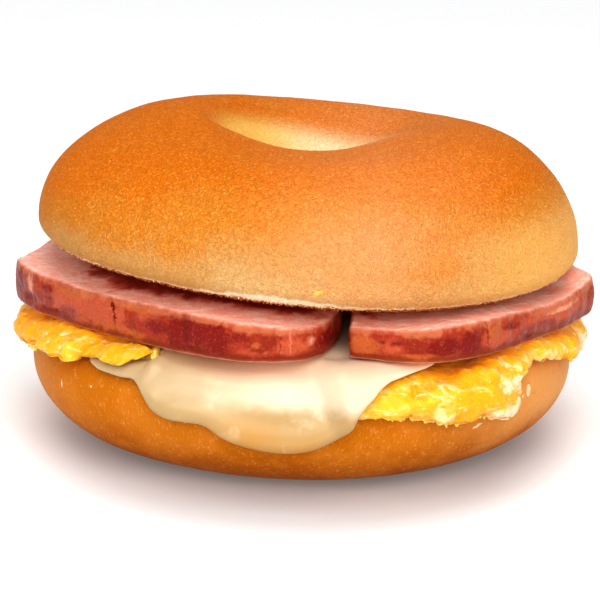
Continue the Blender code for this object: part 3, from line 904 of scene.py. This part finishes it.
def upper_crust(s):
    f = Finish("upper_crust")
    rise, hollow, face, brown, torn = f.carried("rise", "hollow", "face", "brown", "torn")
    across = f.axis("X")
    broad = f.mottle(0.013, 4, 0.6, 0.4, 1.0)
    small = f.mottle(0.003, 3, 0.6, 0.5, 2.0)
    fine = f.mottle(0.00045, 2, 0.6, 0.5, 4.0)
    baked = brown + (broad - 0.5) * 0.75 + (small - 0.5) * 0.22
    # A painted reflection: a pale patch at the front of the upper crust, in the blush colour.
    patch = ((across + 0.009) * 22.0).ridges(1.6) * ((f.axis("Z") - 0.031) * 23.0).ridges(2.0)
    # Painted light: the right end of the upper crust is paler below its crest.
    end = across.spread(0.02, 0.05) * rise.spread(0.02, 0.01)
    # The curls' ridges are painted paler, a painted highlight, and the pits darker, painted shade; both also
    # shape the bump.
    curls = f.mottle(0.0008, 1, 0.5, 1.4, 3.0).ridges(8.0)
    pits = f.mottle(0.00105, 1, 0.5, 1.3, 5.0).ridges(8.0)
    # Painted glints: small pale specks that stand in for highlights.
    painted_glints = f.mottle(0.00046, 1, 0.5, 0.3, 7.0).spread(0.6, 0.72)
    amount = baked.spread(0.1, 0.8, 0.25) + 0.05
    inner = blend((across + broad * 0.006).spread(-0.01, 0.01), "F6C468", "FBE0B6")
    edge = rise + (small - 0.5) * 0.0022
    skin = layered(
        s.pale,
        (baked.spread(-0.1, 0.34), s.gold),
        (baked.spread(0.34, 0.7), s.orange),
        (baked.spread(0.66, 1.1), s.brown),
        (end * 0.7, "F8BC68"),
        (patch * (broad * 0.9 + 0.35) * 0.8, s.painted_reflection),
        (curls * amount, "FFAE40"),
        (pits * amount, "B44C00"),
        (painted_glints * (amount + 0.12), "FFC476"),
        (hollow * 0.88, inner),
        ((edge - torn * 0.0014).spread(0.0012, 0.0003), s.crumb),
        (edge.spread(0.0007, 0.0002), s.toasted),
        (face, f.inside(s)),
    )
    return f.done(
        skin, fine * 0.22 + 0.36, curls * 0.55 + fine * 0.45 - pits * 0.35, 0.00022,
        Specular_IOR_Level=0.02, Specular_Tint=(1.0, 0.72, 0.42, 1),
    )


def lower_crust(s):
    f = Finish("lower_crust")
    rise, face = f.carried("rise", "face")
    across = f.axis("X")
    broad = f.mottle(0.012, 4, 0.6, 0.5, 1.0)
    small = f.mottle(0.0022, 4, 0.65, 0.4, 2.0)
    fine = f.mottle(0.00055, 3, 0.6, 0.3, 4.0)
    specks = f.mottle(0.00052, 3, 0.6, 0.4, 7.0, (1.0, 1.0, 0.6))
    low = rise + (broad - 0.5) * 0.016
    # Painted light: both ends of the lower half, the right one most, are paler above the base.
    ends = across.spread(0.02, 0.054, 0.85) + across.spread(-0.046, -0.058, 0.45)
    skin = layered(
        s.dark_under,
        (low.spread(0.001, 0.014), s.under),
        (broad.spread(0.42, 0.7, 0.4), "D88A34"),
        (ends * low.spread(0.004, 0.013), "DEA362"),
        (small.spread(0.5, 0.78, 0.3), "DF9446"),
        (specks.spread(0.54, 0.7, 0.3), "F0B878"),
        (f.mottle(0.0013, 2, 0.5, 0.6, 9.0).spread(0.64, 0.72, 0.3), "95490F"),
        (face, f.inside(s)),
    )
    return f.done(
        skin, small * 0.16 + 0.42, small * 0.8 + fine * 0.5, 0.00012, 0.8, Specular_IOR_Level=0.05,
        Specular_Tint=(1.0, 0.72, 0.42, 1),
    )


def egg_finish(s):
    f = Finish("egg")
    crease, = f.carried("crease")
    broad = f.mottle(0.0095, 2, 0.5, 0.8, 1.0)
    small = f.mottle(0.003, 2, 0.55, 1.0, 2.0)
    fine = f.mottle(0.001, 3, 0.6, 0.9, 4.0)
    streaks = f.mottle(0.0046, 3, 0.6, 1.2, 3.0, (0.6, 1.0, 1.6), (0.3, 0.6, 0.4))
    flecks = f.mottle(0.0019, 2, 0.5, 0.7, 6.0, (0.5, 1.0, 1.4), (0.5, 0.2, 0.9))
    right = f.axis("X").spread(0.012, 0.04) * f.axis("Z").spread(0.0265, 0.0215)
    milky = (streaks + right * 0.09).spread(0.5, 0.64) * broad.spread(0.64, 0.44)
    skin = layered(
        s.yellow,
        (broad.spread(0.42, 0.58, 0.8), s.deep),
        # Painted shade: deeper yellow in the creases between the folds.
        (crease.spread(0.5, 0.1, 0.3), "EEA408"),
        (milky * (right * 0.35 + 0.6), blend(right, s.cream, "FFE0BC")),
        (flecks.spread(0.6, 0.7) * (right * 0.2 + 0.48), "FFF2C8"),
        # Painted highlight and shade: the fine folds, which the bump also raises, are paler where they stand
        # up and deeper yellow between them.
        (fine.spread(0.54, 0.66, 0.24), "FFE4A0"),
        (fine.spread(0.46, 0.34, 0.22), "EFA200"),
    )
    return f.done(
        skin, broad * 0.3 + 0.26, small * 0.7 + fine * 0.6 + milky * 0.25, 0.00055, 0.8,
        Subsurface_Weight=0.25, Subsurface_Scale=0.004, Subsurface_Radius=(1.0, 0.75, 0.2),
        Specular_IOR_Level=0.35, Specular_Tint=(1.0, 0.8, 0.3, 1), Coat_Weight=0.26, Coat_Roughness=0.12,
    )


def cheese_finish(s):
    f = Finish("cheese")
    up = f.axis("Z")
    broad = f.mottle(0.014, 2, 0.5, 0.6, 2.0)
    small = f.mottle(0.005, 3, 0.5, 0.8, 5.0)
    fine = f.mottle(0.0011, 2, 0.5, 0.2, 4.0)
    along = f.axis("X") + broad * 0.008
    dip = along.spread(0.002, 0.008) * along.spread(0.021, 0.013)
    # pale is a painted highlight: the cheese is paler high up, most of all from the middle rightwards; dip
    # takes a little of it away.
    pale = (up + small * 0.004).spread(0.02, 0.024) * (along.spread(-0.02, 0.002, 0.65) + 0.35)
    reach = f.reach() + (small - 0.5) * 0.004
    skin = layered(
        s.ivory,
        ((up - (broad - 0.5) * 0.016).spread(0.0225, 0.005), s.amber),
        (pale * (0.72 - dip * 0.1), "F0DAC4"),
        (small.spread(0.54, 0.72, 0.18), "F6E0BC"),
        # Painted shade under the ham: the cheese turns brown closer in than about 46 mm from the axis.
        (reach.spread(0.046, 0.0435, 0.25), "9A5C30"),
        (along.spread(-0.018, -0.03, 0.35), "A68A54"),
    )
    return f.done(
        skin, broad * 0.2 + 0.22, small + fine * 0.06, 0.0003, 0.5, Subsurface_Weight=0.3,
        Subsurface_Scale=0.004, Subsurface_Radius=(1.0, 0.8, 0.5), Specular_Tint=(1.0, 0.9, 0.7, 1),
        Coat_Weight=0.22, Coat_Roughness=0.16,
    )


def ham_finish(s):
    f = Finish("ham")
    side, down, inset, scar, mauve = f.carried("side", "down", "inset", "scar", "mauve")
    patches = f.mottle(0.0085, 2, 0.5, 0.6, 2.0)
    blotches = f.mottle(0.0034, 3, 0.55, 0.8, 3.0)
    small = f.mottle(0.0012, 2, 0.6, 0.5, 5.0)
    fine = f.mottle(0.0006, 2, 0.6, 0.4, 6.0)
    grain = f.mottle(0.0023, 5, 0.65, 1.0, 1.0, (0.7, 1.0, 1.0), (0.0, 0.0, 0.35))
    uneven = blotches * 1.5 + small * 1.1 - 0.3
    out = f.reach() + (patches - 0.5) * 0.014 + (blotches - 0.5) * 0.008
    edge = (inset + small * 0.0008).spread(0.0013, 0.0007)
    top = layered(
        s.lean,
        (grain.spread(0.46, 0.62), s.fat),
        (grain.spread(0.44, 0.34, 0.36), "F48C78"),
        (fine.spread(0.5, 0.38, 0.28), "F08068"),
        (patches.spread(0.5, 0.68, 0.35), "FA9C86"),
        (blotches.spread(0.56, 0.72, 0.45), "FCC4B2"),
        # Under the upper half the face turns darker, deep red further in: partly browning and partly painted
        # shade of the roll's overhang.
        (out.spread(0.049, 0.044, 0.92), s.browned),
        (out.spread(0.0468, 0.0425, 0.85), "8A1406"),
        (edge * (blotches + 0.1), "A8501C"),
    )
    marks = [(v * uneven).spread(0.24, 0.56, 0.92) for v in f.carried("rosy", "mauve", "tan", "pale", "deep")]
    lines = f.mottle(0.0046, 1, 0.5, 0.8, 8.0, (1.0, 1.0, 0.45), (0.0, 0.4, 0.0)).ridges(26.0)
    wavering = (blotches + patches - 1.0) * 0.9
    wall = layered(
        s.cured,
        (patches.spread(0.42, 0.58), "A23720"),
        (blotches.spread(0.48, 0.6, 0.4), "B04929"),
        (small.spread(0.52, 0.64, 0.35), "741A0E"),
        *zip(marks, (s.rosy, s.mauve, s.tan, s.pale, s.deep)),
        (lines * mauve * 0.35, "D08870"),
        (fine.spread(0.55, 0.68, 0.18), "DE8460"),
        (fine.spread(0.45, 0.34, 0.28), "7C1A0C"),
        (small.spread(0.54, 0.72, 0.14), "D06A48"),
        ((down + wavering * 0.6).spread(0.8, 1.0, 0.8), "7E2A08"),
        # Painted highlight: a pale peach band along the top of the side, where its edge catches the light.
        ((down + wavering * 0.85).spread(0.14, -0.06, 0.66), "C87850"),
    )
    front = f.axis("Y").spread(0.004, 0.0)
    across = f.axis("X")
    for place, lean, width, start, end, strength, shade in HAM_LINES:
        off = across - place - down * lean + (small - 0.5) * 0.002
        shown = down.spread(start - 0.05, start + 0.05) * down.spread(end + 0.05, end - 0.15)
        wall = blend(abs(off).spread(width, width * 0.4) * shown * (front * strength), wall, shade)
    cells = {"Vector": f.where, "Scale": 1 / 0.0024, "Randomness": 1.0}
    rings = (f.new("ShaderNodeTexVoronoi", cells, "Distance") + 0.2).ridges(6.0)
    burns = (scar * (uneven * 0.55 + rings * 0.45)).spread(0.28, 0.6)
    height = blotches * 0.9 + grain * 0.5 + small * 0.5 + fine * 0.22 - burns * 0.5
    return f.done(
        blend(side, top, blend(burns * 0.85, wall, s.burnt)), blotches * 0.36 + 0.2, height, 0.0005, 0.9,
        Subsurface_Weight=0.06, Subsurface_Scale=0.002, Subsurface_Radius=(1.0, 0.35, 0.25),
        Specular_IOR_Level=0.22, Specular_Tint=(1.0, 0.55, 0.42, 1), Coat_Weight=0.06, Coat_Roughness=0.1,
    )


def crumb_finish(name, light, shade):
    f = Finish(name)
    small = f.mottle(0.0006, 3, 0.6, 0.4, 1.0)
    skin = blend(small.spread(0.35, 0.7), shade, light)
    return f.done(skin, small * 0.2 + 0.62, small, 0.00012, 0.8)


# Relief and crumbs by Geometry Nodes


class Relief(Tree):
    """A Geometry Nodes tree under way, with these named inputs, a seed and a material."""

    def __init__(self, name, *labels):
        self.tree = bpy.data.node_groups.new(name, "GeometryNodeTree")
        kinds = {"Material": "Material", "Geometry": "Geometry"}
        kinds.update(dict.fromkeys(("Count", "Detail", "Seed"), "Int"))
        for label in ("Geometry", *labels, "Seed", "Material"):
            kind = "NodeSocket" + kinds.get(label, "Float")
            self.tree.interface.new_socket(label, in_out="INPUT", socket_type=kind)
        self.tree.interface.new_socket("Geometry", in_out="OUTPUT", socket_type="NodeSocketGeometry")
        self.here = self.new("GeometryNodeInputPosition")

    def __getitem__(self, label):
        """One of the tree's inputs."""
        return self.new("NodeGroupInput", output=label)

    def carried(self, name):
        """A value that the mesh carries."""
        return self.new("GeometryNodeInputNamedAttribute", {"Name": name}, data_type="FLOAT")

    def swell(self, size, detail=2.0, distortion=0.0, vector=None):
        """Noise between about -1 and 1."""
        return (self.noise(vector or self.here, size, self["Seed"], detail, distortion) - 0.5) * 2.0

    def puffs(self, size, distortion):
        """Soft swellings with creases between them."""
        return self.here.maths("MINIMUM", abs(self.swell(size, 1.0, distortion)) * 3.2, 1.0)

    def moved(self, geometry, offset):
        return self.new("GeometryNodeSetPosition", {"Geometry": geometry, "Offset": offset})

    def raised(self, height, geometry=None):
        """The tree, closed with its geometry moved along the normals."""
        offset = self.new("GeometryNodeInputNormal").vector("SCALE", {"Scale": height})
        return self.closed(self.moved(geometry or self["Geometry"], offset))

    def closed(self, geometry):
        """The tree with smooth shading, real geometry and the material at its end."""
        shaded = self.new("GeometryNodeSetShadeSmooth", {"Geometry": geometry})
        real = self.new("GeometryNodeRealizeInstances", {"Geometry": shaded})
        painted = self.new("GeometryNodeSetMaterial", {"Geometry": real, "Material": self["Material"]})
        node(self.tree, "NodeGroupOutput", {0: painted})
        return self.tree


def crust_tree():
    """Broad swells and fine wrinkles, and a torn edge where the mesh says that it is ragged."""
    g = Relief("Crust Relief", "Swell Size", "Swell Height", "Wrinkle Size", "Wrinkle Height")
    wrinkle = g.swell(g["Wrinkle Size"], 1.0, 1.0)
    height = g.swell(g["Swell Size"]) * g["Swell Height"] + wrinkle * g["Wrinkle Height"]
    return g.raised(height * g.carried("free") + wrinkle * g.carried("ragged") * 0.00045)


def curd_tree():
    """Large and small folds where the egg is free, and a value that is 0 in the creases."""
    g = Relief("Egg Curds", "Curd Size", "Curd Height", "Fold Size", "Fold Height")
    large, little = g.puffs(g["Curd Size"], 0.7), g.puffs(g["Fold Size"], 0.9)
    height = (large - 0.55) * g["Curd Height"] + (little - 0.5) * g["Fold Height"]
    kept = {"Geometry": g["Geometry"], "Name": "crease", "Value": large * 0.6 + little * 0.4}
    marked = g.new("GeometryNodeStoreNamedAttribute", kept, data_type="FLOAT")
    return g.raised(height * g.carried("free"), marked)


def ripple_tree():
    """Slow ripples over the cheese."""
    g = Relief("Cheese Ripples", "Ripple Size", "Ripple Height")
    return g.raised(g.swell(g["Ripple Size"], 1.0, 0.3) * g["Ripple Height"] * g.carried("free"))


def meat_tree():
    """Fibres over the faces and upright creases and blisters on the sides."""
    g = Relief("Ham Grain", "Grain Size", "Grain Height", "Crease Height")
    side = g.carried("side")
    grain = g.swell(g["Grain Size"], 3.0, 1.0) * g["Grain Height"]
    tall = g.here.vector("MULTIPLY", {1: (1.0, 1.0, 0.6)})
    crease = g.swell(g["Grain Size"] * 2.4, 2.0, 0.4, tall) * g["Crease Height"]
    return g.raised(grain + crease * side + g.carried("scar") * -0.00055 * side)


def crumb_tree():
    """Crumbs of many sizes and turns strewn along a line."""
    g = Relief("Strewn Crumbs", "Count", "Length", "Width", "Thickness", "Spread", "Detail")
    line = g.new("GeometryNodeMeshToCurve", {"Mesh": g["Geometry"]})
    inputs = {"Curve": line, "Count": g["Count"]}
    even = g.new("GeometryNodeCurveToPoints", inputs, output="Points", mode="COUNT")

    def drawn(low, high, order):
        """A random vector for each crumb."""
        limits = {0: (low, low, low), 1: (high, high, high), "Seed": g["Seed"] + order}
        return g.new("FunctionNodeRandomValue", limits, data_type="FLOAT_VECTOR")

    places = g.moved(even, drawn(-1.0, 1.0, 1).vector("SCALE", {"Scale": g["Spread"]}))
    crumb = g.new("GeometryNodeMeshIcoSphere", {"Radius": 0.5, "Subdivisions": g["Detail"]})
    bent = g.new(
        "ShaderNodeTexNoise", {"Vector": g.here, "W": 3.0, "Scale": 2.1}, output=1, noise_dimensions="4D"
    )
    rough = g.moved(crumb, bent.vector("SUBTRACT", {1: (0.5, 0.5, 0.5)}))
    size = g.new("ShaderNodeCombineXYZ", {0: g["Length"], 1: g["Width"], 2: g["Thickness"]})
    size = size.vector("MULTIPLY", {1: drawn(0.35, 1.0, 2)})
    inputs = {"Points": places, "Instance": rough, "Rotation": drawn(-3.1, 3.1, 3), "Scale": size}
    return g.closed(g.new("GeometryNodeInstanceOnPoints", inputs))


def given(settings, material):
    """The settings by their names, and the material, for a tree's inputs of the same names."""
    values = {p.name: getattr(settings, p.identifier) for p in settings.bl_rna.properties}
    return {**values, "Material": material}


def shaped(piece, tree, settings):
    """The piece with a tree run over it, as a plain mesh and without the modifier."""
    modifier = piece.modifiers.new(tree.name, "NODES")
    modifier.node_group = tree
    for item in tree.interface.items_tree:
        if item.item_type == "SOCKET" and item.in_out == "INPUT" and item.name in settings:
            modifier[item.identifier] = settings[item.name]
    ready = piece.evaluated_get(bpy.context.evaluated_depsgraph_get())
    data = bpy.data.meshes.new_from_object(ready)
    piece.modifiers.clear()
    data.name = piece.name
    piece.data = data
    return piece


def stand_in(piece, slot, *nodes):
    """The piece rides on the one body and stands for these nodes. The slot is not used."""
    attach(piece, "root")
    if nodes:
        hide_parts(*nodes)


# Operators


class SANDWICH_OT_roll(bpy.types.Operator):
    """Make both halves of the ring roll"""

    bl_idname = "sandwich.roll"
    bl_label = "Make Roll"

    def execute(self, context):
        s = context.scene.sandwich.roll
        pieces = (
            (crown_ring(512), upper_crust(s), "upper_crust", "crown"),
            (heel_ring(448), lower_crust(s), "lower_crust", "heel"),
        )
        tree = crust_tree()
        for piece, material, slot, name in pieces:
            stand_in(shaped(piece, tree, given(s, material)), slot, name)
        return {"FINISHED"}


def roughened(outline, size, seed, amount):
    """The outline with small lumps in it."""
    return outline - inward(outline) * (lumps(*outline.T, size, seed) * amount)[:, None]


def draped(name, outline, round_width, coarse, far, fine, heights, rows, bulge, free):
    """A sheet on the lower half's skin, with coarse faces where the ham hides it and fine ones beyond."""
    inner = np.vstack([rings_of_points(0, HIDDEN, coarse), rings_of_points(HIDDEN, far, fine)])
    return slab(name, outline, round_width, inner, 0.0004, heights, on_skin, rows, bulge, free)


def egg_free(spots, known):
    """Where the folds may rise: in the open, and not underneath."""
    reach = np.hypot(spots[:, 0], spots[:, 1])
    return {"free": smooth(reach, 0.0475, 0.006) * (1 - smooth(known["down"], 0.6, 0.4))}


def cheese_free(spots, known):
    """Where the ripples may rise: in the open, away from the edge."""
    reach = np.hypot(spots[:, 0], spots[:, 1])
    return {"free": smooth(reach, 0.047, 0.005) * smooth(known["inset"], 0, 0.004)}


class SANDWICH_OT_egg(bpy.types.Operator):
    """Make the scrambled egg"""

    bl_idname = "sandwich.egg"
    bl_label = "Make Egg"

    def execute(self, context):
        s = context.scene.sandwich.egg
        edge = roughened(EGG_EDGE, 0.0022, 8.1, 0.00035)
        egg = draped("egg_curds", edge, EGG_ROUND, 0.002, 0.064, 0.00075, egg_faces, 4, 0.0002, egg_free)
        stand_in(shaped(egg, curd_tree(), given(s, egg_finish(s))), "egg", "egg")
        return {"FINISHED"}


class SANDWICH_OT_cheese(bpy.types.Operator):
    """Make the melted slice of cheese"""

    bl_idname = "sandwich.cheese"
    bl_label = "Make Cheese"

    def execute(self, context):
        s = context.scene.sandwich.cheese
        cheese = draped(
            "cheese_slice", CHEESE_EDGE, CHEESE_ROUND, 0.0018, 0.067, 0.0008, cheese_faces, 2, 0.0,
            cheese_free,
        )
        stand_in(shaped(cheese, ripple_tree(), given(s, cheese_finish(s))), "cheese", "cheese")
        return {"FINISHED"}


def ham_marks(spots, known):
    """How strongly each kind of mark shows at each point."""
    x, y = spots[:, 0] * 1000, spots[:, 1]
    found = {}
    for kind, marks in HAM_MARKS.items():
        found[kind] = np.zeros(len(x))
        for place, down, width, height, strength in marks:
            near = np.exp(-(((x - place) / width) ** 2) - ((known["down"] - down) / height) ** 2)
            found[kind] = np.maximum(found[kind], strength * near * (y < 0.004) * known["side"])
    return found


class SANDWICH_OT_ham(bpy.types.Operator):
    """Make the two half slices of ham"""

    bl_idname = "sandwich.ham"
    bl_label = "Make Ham"

    def execute(self, context):
        s = context.scene.sandwich.ham
        tree, material = meat_tree(), ham_finish(s)
        step = 0.0011
        grid = np.arange(-0.061, 0.0615, step)
        points = np.array([(x, y + step / 2 * (i % 2)) for i, x in enumerate(grid) for y in grid])
        for name, outline in (("ham_left", LEFT_HAM_OUTLINE), ("ham_right", RIGHT_HAM_OUTLINE)):
            edge = roughened(even_curve(outline, 0.0007), 0.0032, 5.7, 0.00022)
            ham = slab(
                name + "_slice", edge, HAM_ROUND, points, 0.0006, ham_faces, upright, 12, 0.0004, ham_marks
            )
            stand_in(shaped(ham, tree, given(s, material)), "ham", name)
        return {"FINISHED"}


def cut_edge(outside, above):
    """The front of the edge of the upper half's cut, moved outwards and upwards."""
    angle = np.radians(np.linspace(188, 352, 300))
    edge = crown_belly(angle) - CROWN_LIP
    high = crown_cut(edge * np.cos(angle), edge * np.sin(angle)) + above
    return around(edge + outside, angle, high)


def egg_rim(low, high):
    """The egg's edge between two angles, in degrees, just over the lower half's skin."""
    angle = np.degrees(np.arctan2(EGG_EDGE[:, 1], EGG_EDGE[:, 0])) % 360
    kept = EGG_EDGE[(angle > low) & (angle < high)]
    return on_skin(kept[:, 0], kept[:, 1], 0.0009)


def strewn(name, slot, paths, tree, size, shape, settings):
    """Crumbs along these paths, as one piece."""
    points, edges = [], []
    for path in paths:
        edges += [(i + len(points), i + len(points) + 1) for i in range(len(path) - 1)]
        points += [tuple(p) for p in path]
    data = bpy.data.meshes.new(name)
    data.from_pydata(points, edges, [])
    sizes = {key: size * c for key, c in zip(("Length", "Width", "Thickness"), shape)}
    stand_in(shaped(placed(name, data), tree, {**sizes, **settings}), slot)


def bit(mesh, place, normal, turn, size):
    """One flat uneven crumb lying on a skin."""
    made = bmesh.ops.create_icosphere(mesh, subdivisions=2, radius=0.5)["verts"]
    for vert in made:
        vert.co += noise.noise_vector(vert.co * 1.9 + Vector(place) * 900) * 0.28
    lie = Vector(normal).to_track_quat("Z", "Y").to_matrix().to_4x4()
    spin = Matrix.Rotation(math.radians(turn), 4, "Z")
    matrix = Matrix.Translation(place) @ lie @ spin @ Matrix.Diagonal((*size, 1))
    bmesh.ops.transform(mesh, matrix=matrix, verts=made)


class SANDWICH_OT_crumbs(bpy.types.Operator):
    """Strew the crumbs and the egg's torn flakes"""

    bl_idname = "sandwich.crumbs"
    bl_label = "Strew Crumbs"

    def execute(self, context):
        s = context.scene.sandwich.crumbs
        r = context.scene.sandwich.roll
        tree = crumb_tree()
        finishes = {
            "crumb": crumb_finish("crumb", r.crumb, "E2B878"),
            "toasted": crumb_finish("toasted_crumb", "D9822E", "A8520E"),
            "egg": bpy.data.materials["egg"],
            "egg_speck": crumb_finish("egg_speck", "F0C060", "E2A43C"),
        }
        for name, slot, paths, finish, count, size, shape, stray, detail, order in (
            ("crumb_fringe", "upper_crust", [cut_edge(0.0011, 0.0008)], "crumb", s.fringe_count,
             s.fringe_size, (1, 0.6, 0.45), 0.00038, 1, 0),
            ("toasted_fringe", "upper_crust", [cut_edge(0.0004, 0.0001)], "toasted", s.fringe_count,
             s.fringe_size, (0.8, 0.6, 0.45), 0.00022, 1, 10),
            ("egg_flakes", "egg", [egg_rim(188, 199), egg_rim(284, 311)], "egg", s.flake_count,
             s.flake_size, (1, 0.7, 0.45), 0.0004, 2, 20),
        ):
            strewn(name, slot, paths, tree, size, shape, {
                "Count": count, "Spread": stray, "Detail": detail, "Seed": s.seed + order,
                "Material": finishes[finish],
            })
        noise.seed_set(s.seed)
        for name, slot, skin, finish, reach, bits in LOOSE_BITS:
            mesh = bmesh.new()
            for angle, height, turn, *size in bits:
                a = math.radians(angle)
                probe = Vector((reach * math.cos(a), reach * math.sin(a), height)) / 1000
                place, normal = bpy.data.objects[skin].closest_point_on_mesh(probe)[1:3]
                bit(mesh, place, normal, turn, [c / 1000 for c in size])
            data = bpy.data.meshes.new(name)
            mesh.to_mesh(data)
            mesh.free()
            data.shade_smooth()
            data.materials.append(finishes[finish])
            stand_in(placed(name, data), slot)
        return {"FINISHED"}


class SANDWICH_OT_stage(bpy.types.Operator):
    """Set the table, the lights and the camera"""

    bl_idname = "sandwich.stage"
    bl_label = "Set Stage"

    def execute(self, context):
        scene = context.scene
        s = scene.sandwich.stage
        half = s.floor_size / 2
        data = bpy.data.meshes.new("table_top")
        corners = [(-half, -half, 0), (half, -half, 0), (half, half, 0), (-half, half, 0)]
        data.from_pydata(corners, [], [(0, 1, 2, 3)])
        f = Finish("table_top")
        grey = blend(f.mottle(0.02, 3), s.floor, [c * 0.985 for c in s.floor])
        # A painted shadow: the table top darkens towards the shade colour close to the sandwich.
        close = f.where.vector("DISTANCE", {1: (0.0, -0.022, 0.0)}, "Value")
        data.materials.append(f.shade(
            Base_Color=blend(close.spread(0.062, 0.04), grey, s.shade), Roughness=0.7,
            Specular_IOR_Level=0.2, Emission_Color=(1.0, 1.0, 1.0, 1), Emission_Strength=s.glow,
        ))
        placed("table_top", data)

        world = bpy.data.worlds.new("sky")
        world.use_nodes = True
        light = world.node_tree.nodes["Background"].inputs
        light["Color"].default_value = (1.0, 1.0, 1.0, 1)
        light["Strength"].default_value = s.sky
        scene.world = world
        middle = Vector((-0.00063, 0, 0.026))
        for kind, name, width, place in (
            ("SUN", "window", "angle", (0.0, -0.14, 0.95)),
            ("AREA", "front_left", "size", (-0.24, -0.54, 0.38)),
            ("AREA", "front_right", "size", (0.24, -0.54, 0.38)),
        ):
            lamp = placed(name, bpy.data.lights.new(name, kind))
            lamp.data.energy = getattr(s, name)
            setattr(lamp.data, width, s.window_width if kind == "SUN" else s.front_width)
            lamp.location = place
            lamp.rotation_euler = (middle - Vector(place)).to_track_quat("-Z", "Y").to_euler()

        back = Vector((0, -math.cos(s.elevation), math.sin(s.elevation)))
        camera = placed("camera", bpy.data.cameras.new("camera"))
        turn = (-back).to_track_quat("-Z", "Y").to_matrix().to_4x4()
        roll = Matrix.Rotation(s.roll, 4, "Z")
        camera.matrix_world = Matrix.Translation(middle + back * s.camera_distance) @ turn @ roll
        camera.data.lens = s.lens
        camera.data.sensor_width = 36
        scene.camera = camera
        scene.view_settings.view_transform = "Standard"
        scene.view_settings.gamma = 1 - s.contrast
        return {"FINISHED"}


class SANDWICH_PT_tools(bpy.types.Panel):
    """Makes the sandwich piece by piece"""

    bl_idname = "SANDWICH_PT_tools"
    bl_label = "Sandwich"
    bl_space_type = "VIEW_3D"
    bl_region_type = "UI"
    bl_category = "Sandwich"

    def draw(self, context):
        settings = context.scene.sandwich
        for name, operator in STEPS:
            box = self.layout.box()
            box.operator(operator.bl_idname)
            group = getattr(settings, name)
            for key in group.bl_rna.properties.keys():
                if key not in ("rna_type", "name"):
                    box.prop(group, key)


STEPS = (
    ("roll", SANDWICH_OT_roll), ("egg", SANDWICH_OT_egg), ("cheese", SANDWICH_OT_cheese),
    ("ham", SANDWICH_OT_ham), ("crumbs", SANDWICH_OT_crumbs), ("stage", SANDWICH_OT_stage),
)
CLASSES = (
    RollSettings, EggSettings, CheeseSettings, HamSettings, CrumbSettings, StageSettings,
    SandwichSettings, *(operator for name, operator in STEPS), SANDWICH_PT_tools,
)


def register():
    for item in CLASSES:
        bpy.utils.register_class(item)
    bpy.types.Scene.sandwich = bpy.props.PointerProperty(type=SandwichSettings)


def unregister():
    del bpy.types.Scene.sandwich
    for item in reversed(CLASSES):
        bpy.utils.unregister_class(item)


def main():
    register()
    bpy.ops.sandwich.roll()
    bpy.ops.sandwich.egg()
    bpy.ops.sandwich.cheese()
    bpy.ops.sandwich.ham()
    bpy.ops.sandwich.crumbs()
    bpy.ops.sandwich.stage()


if __name__ == "__main__":
    main()
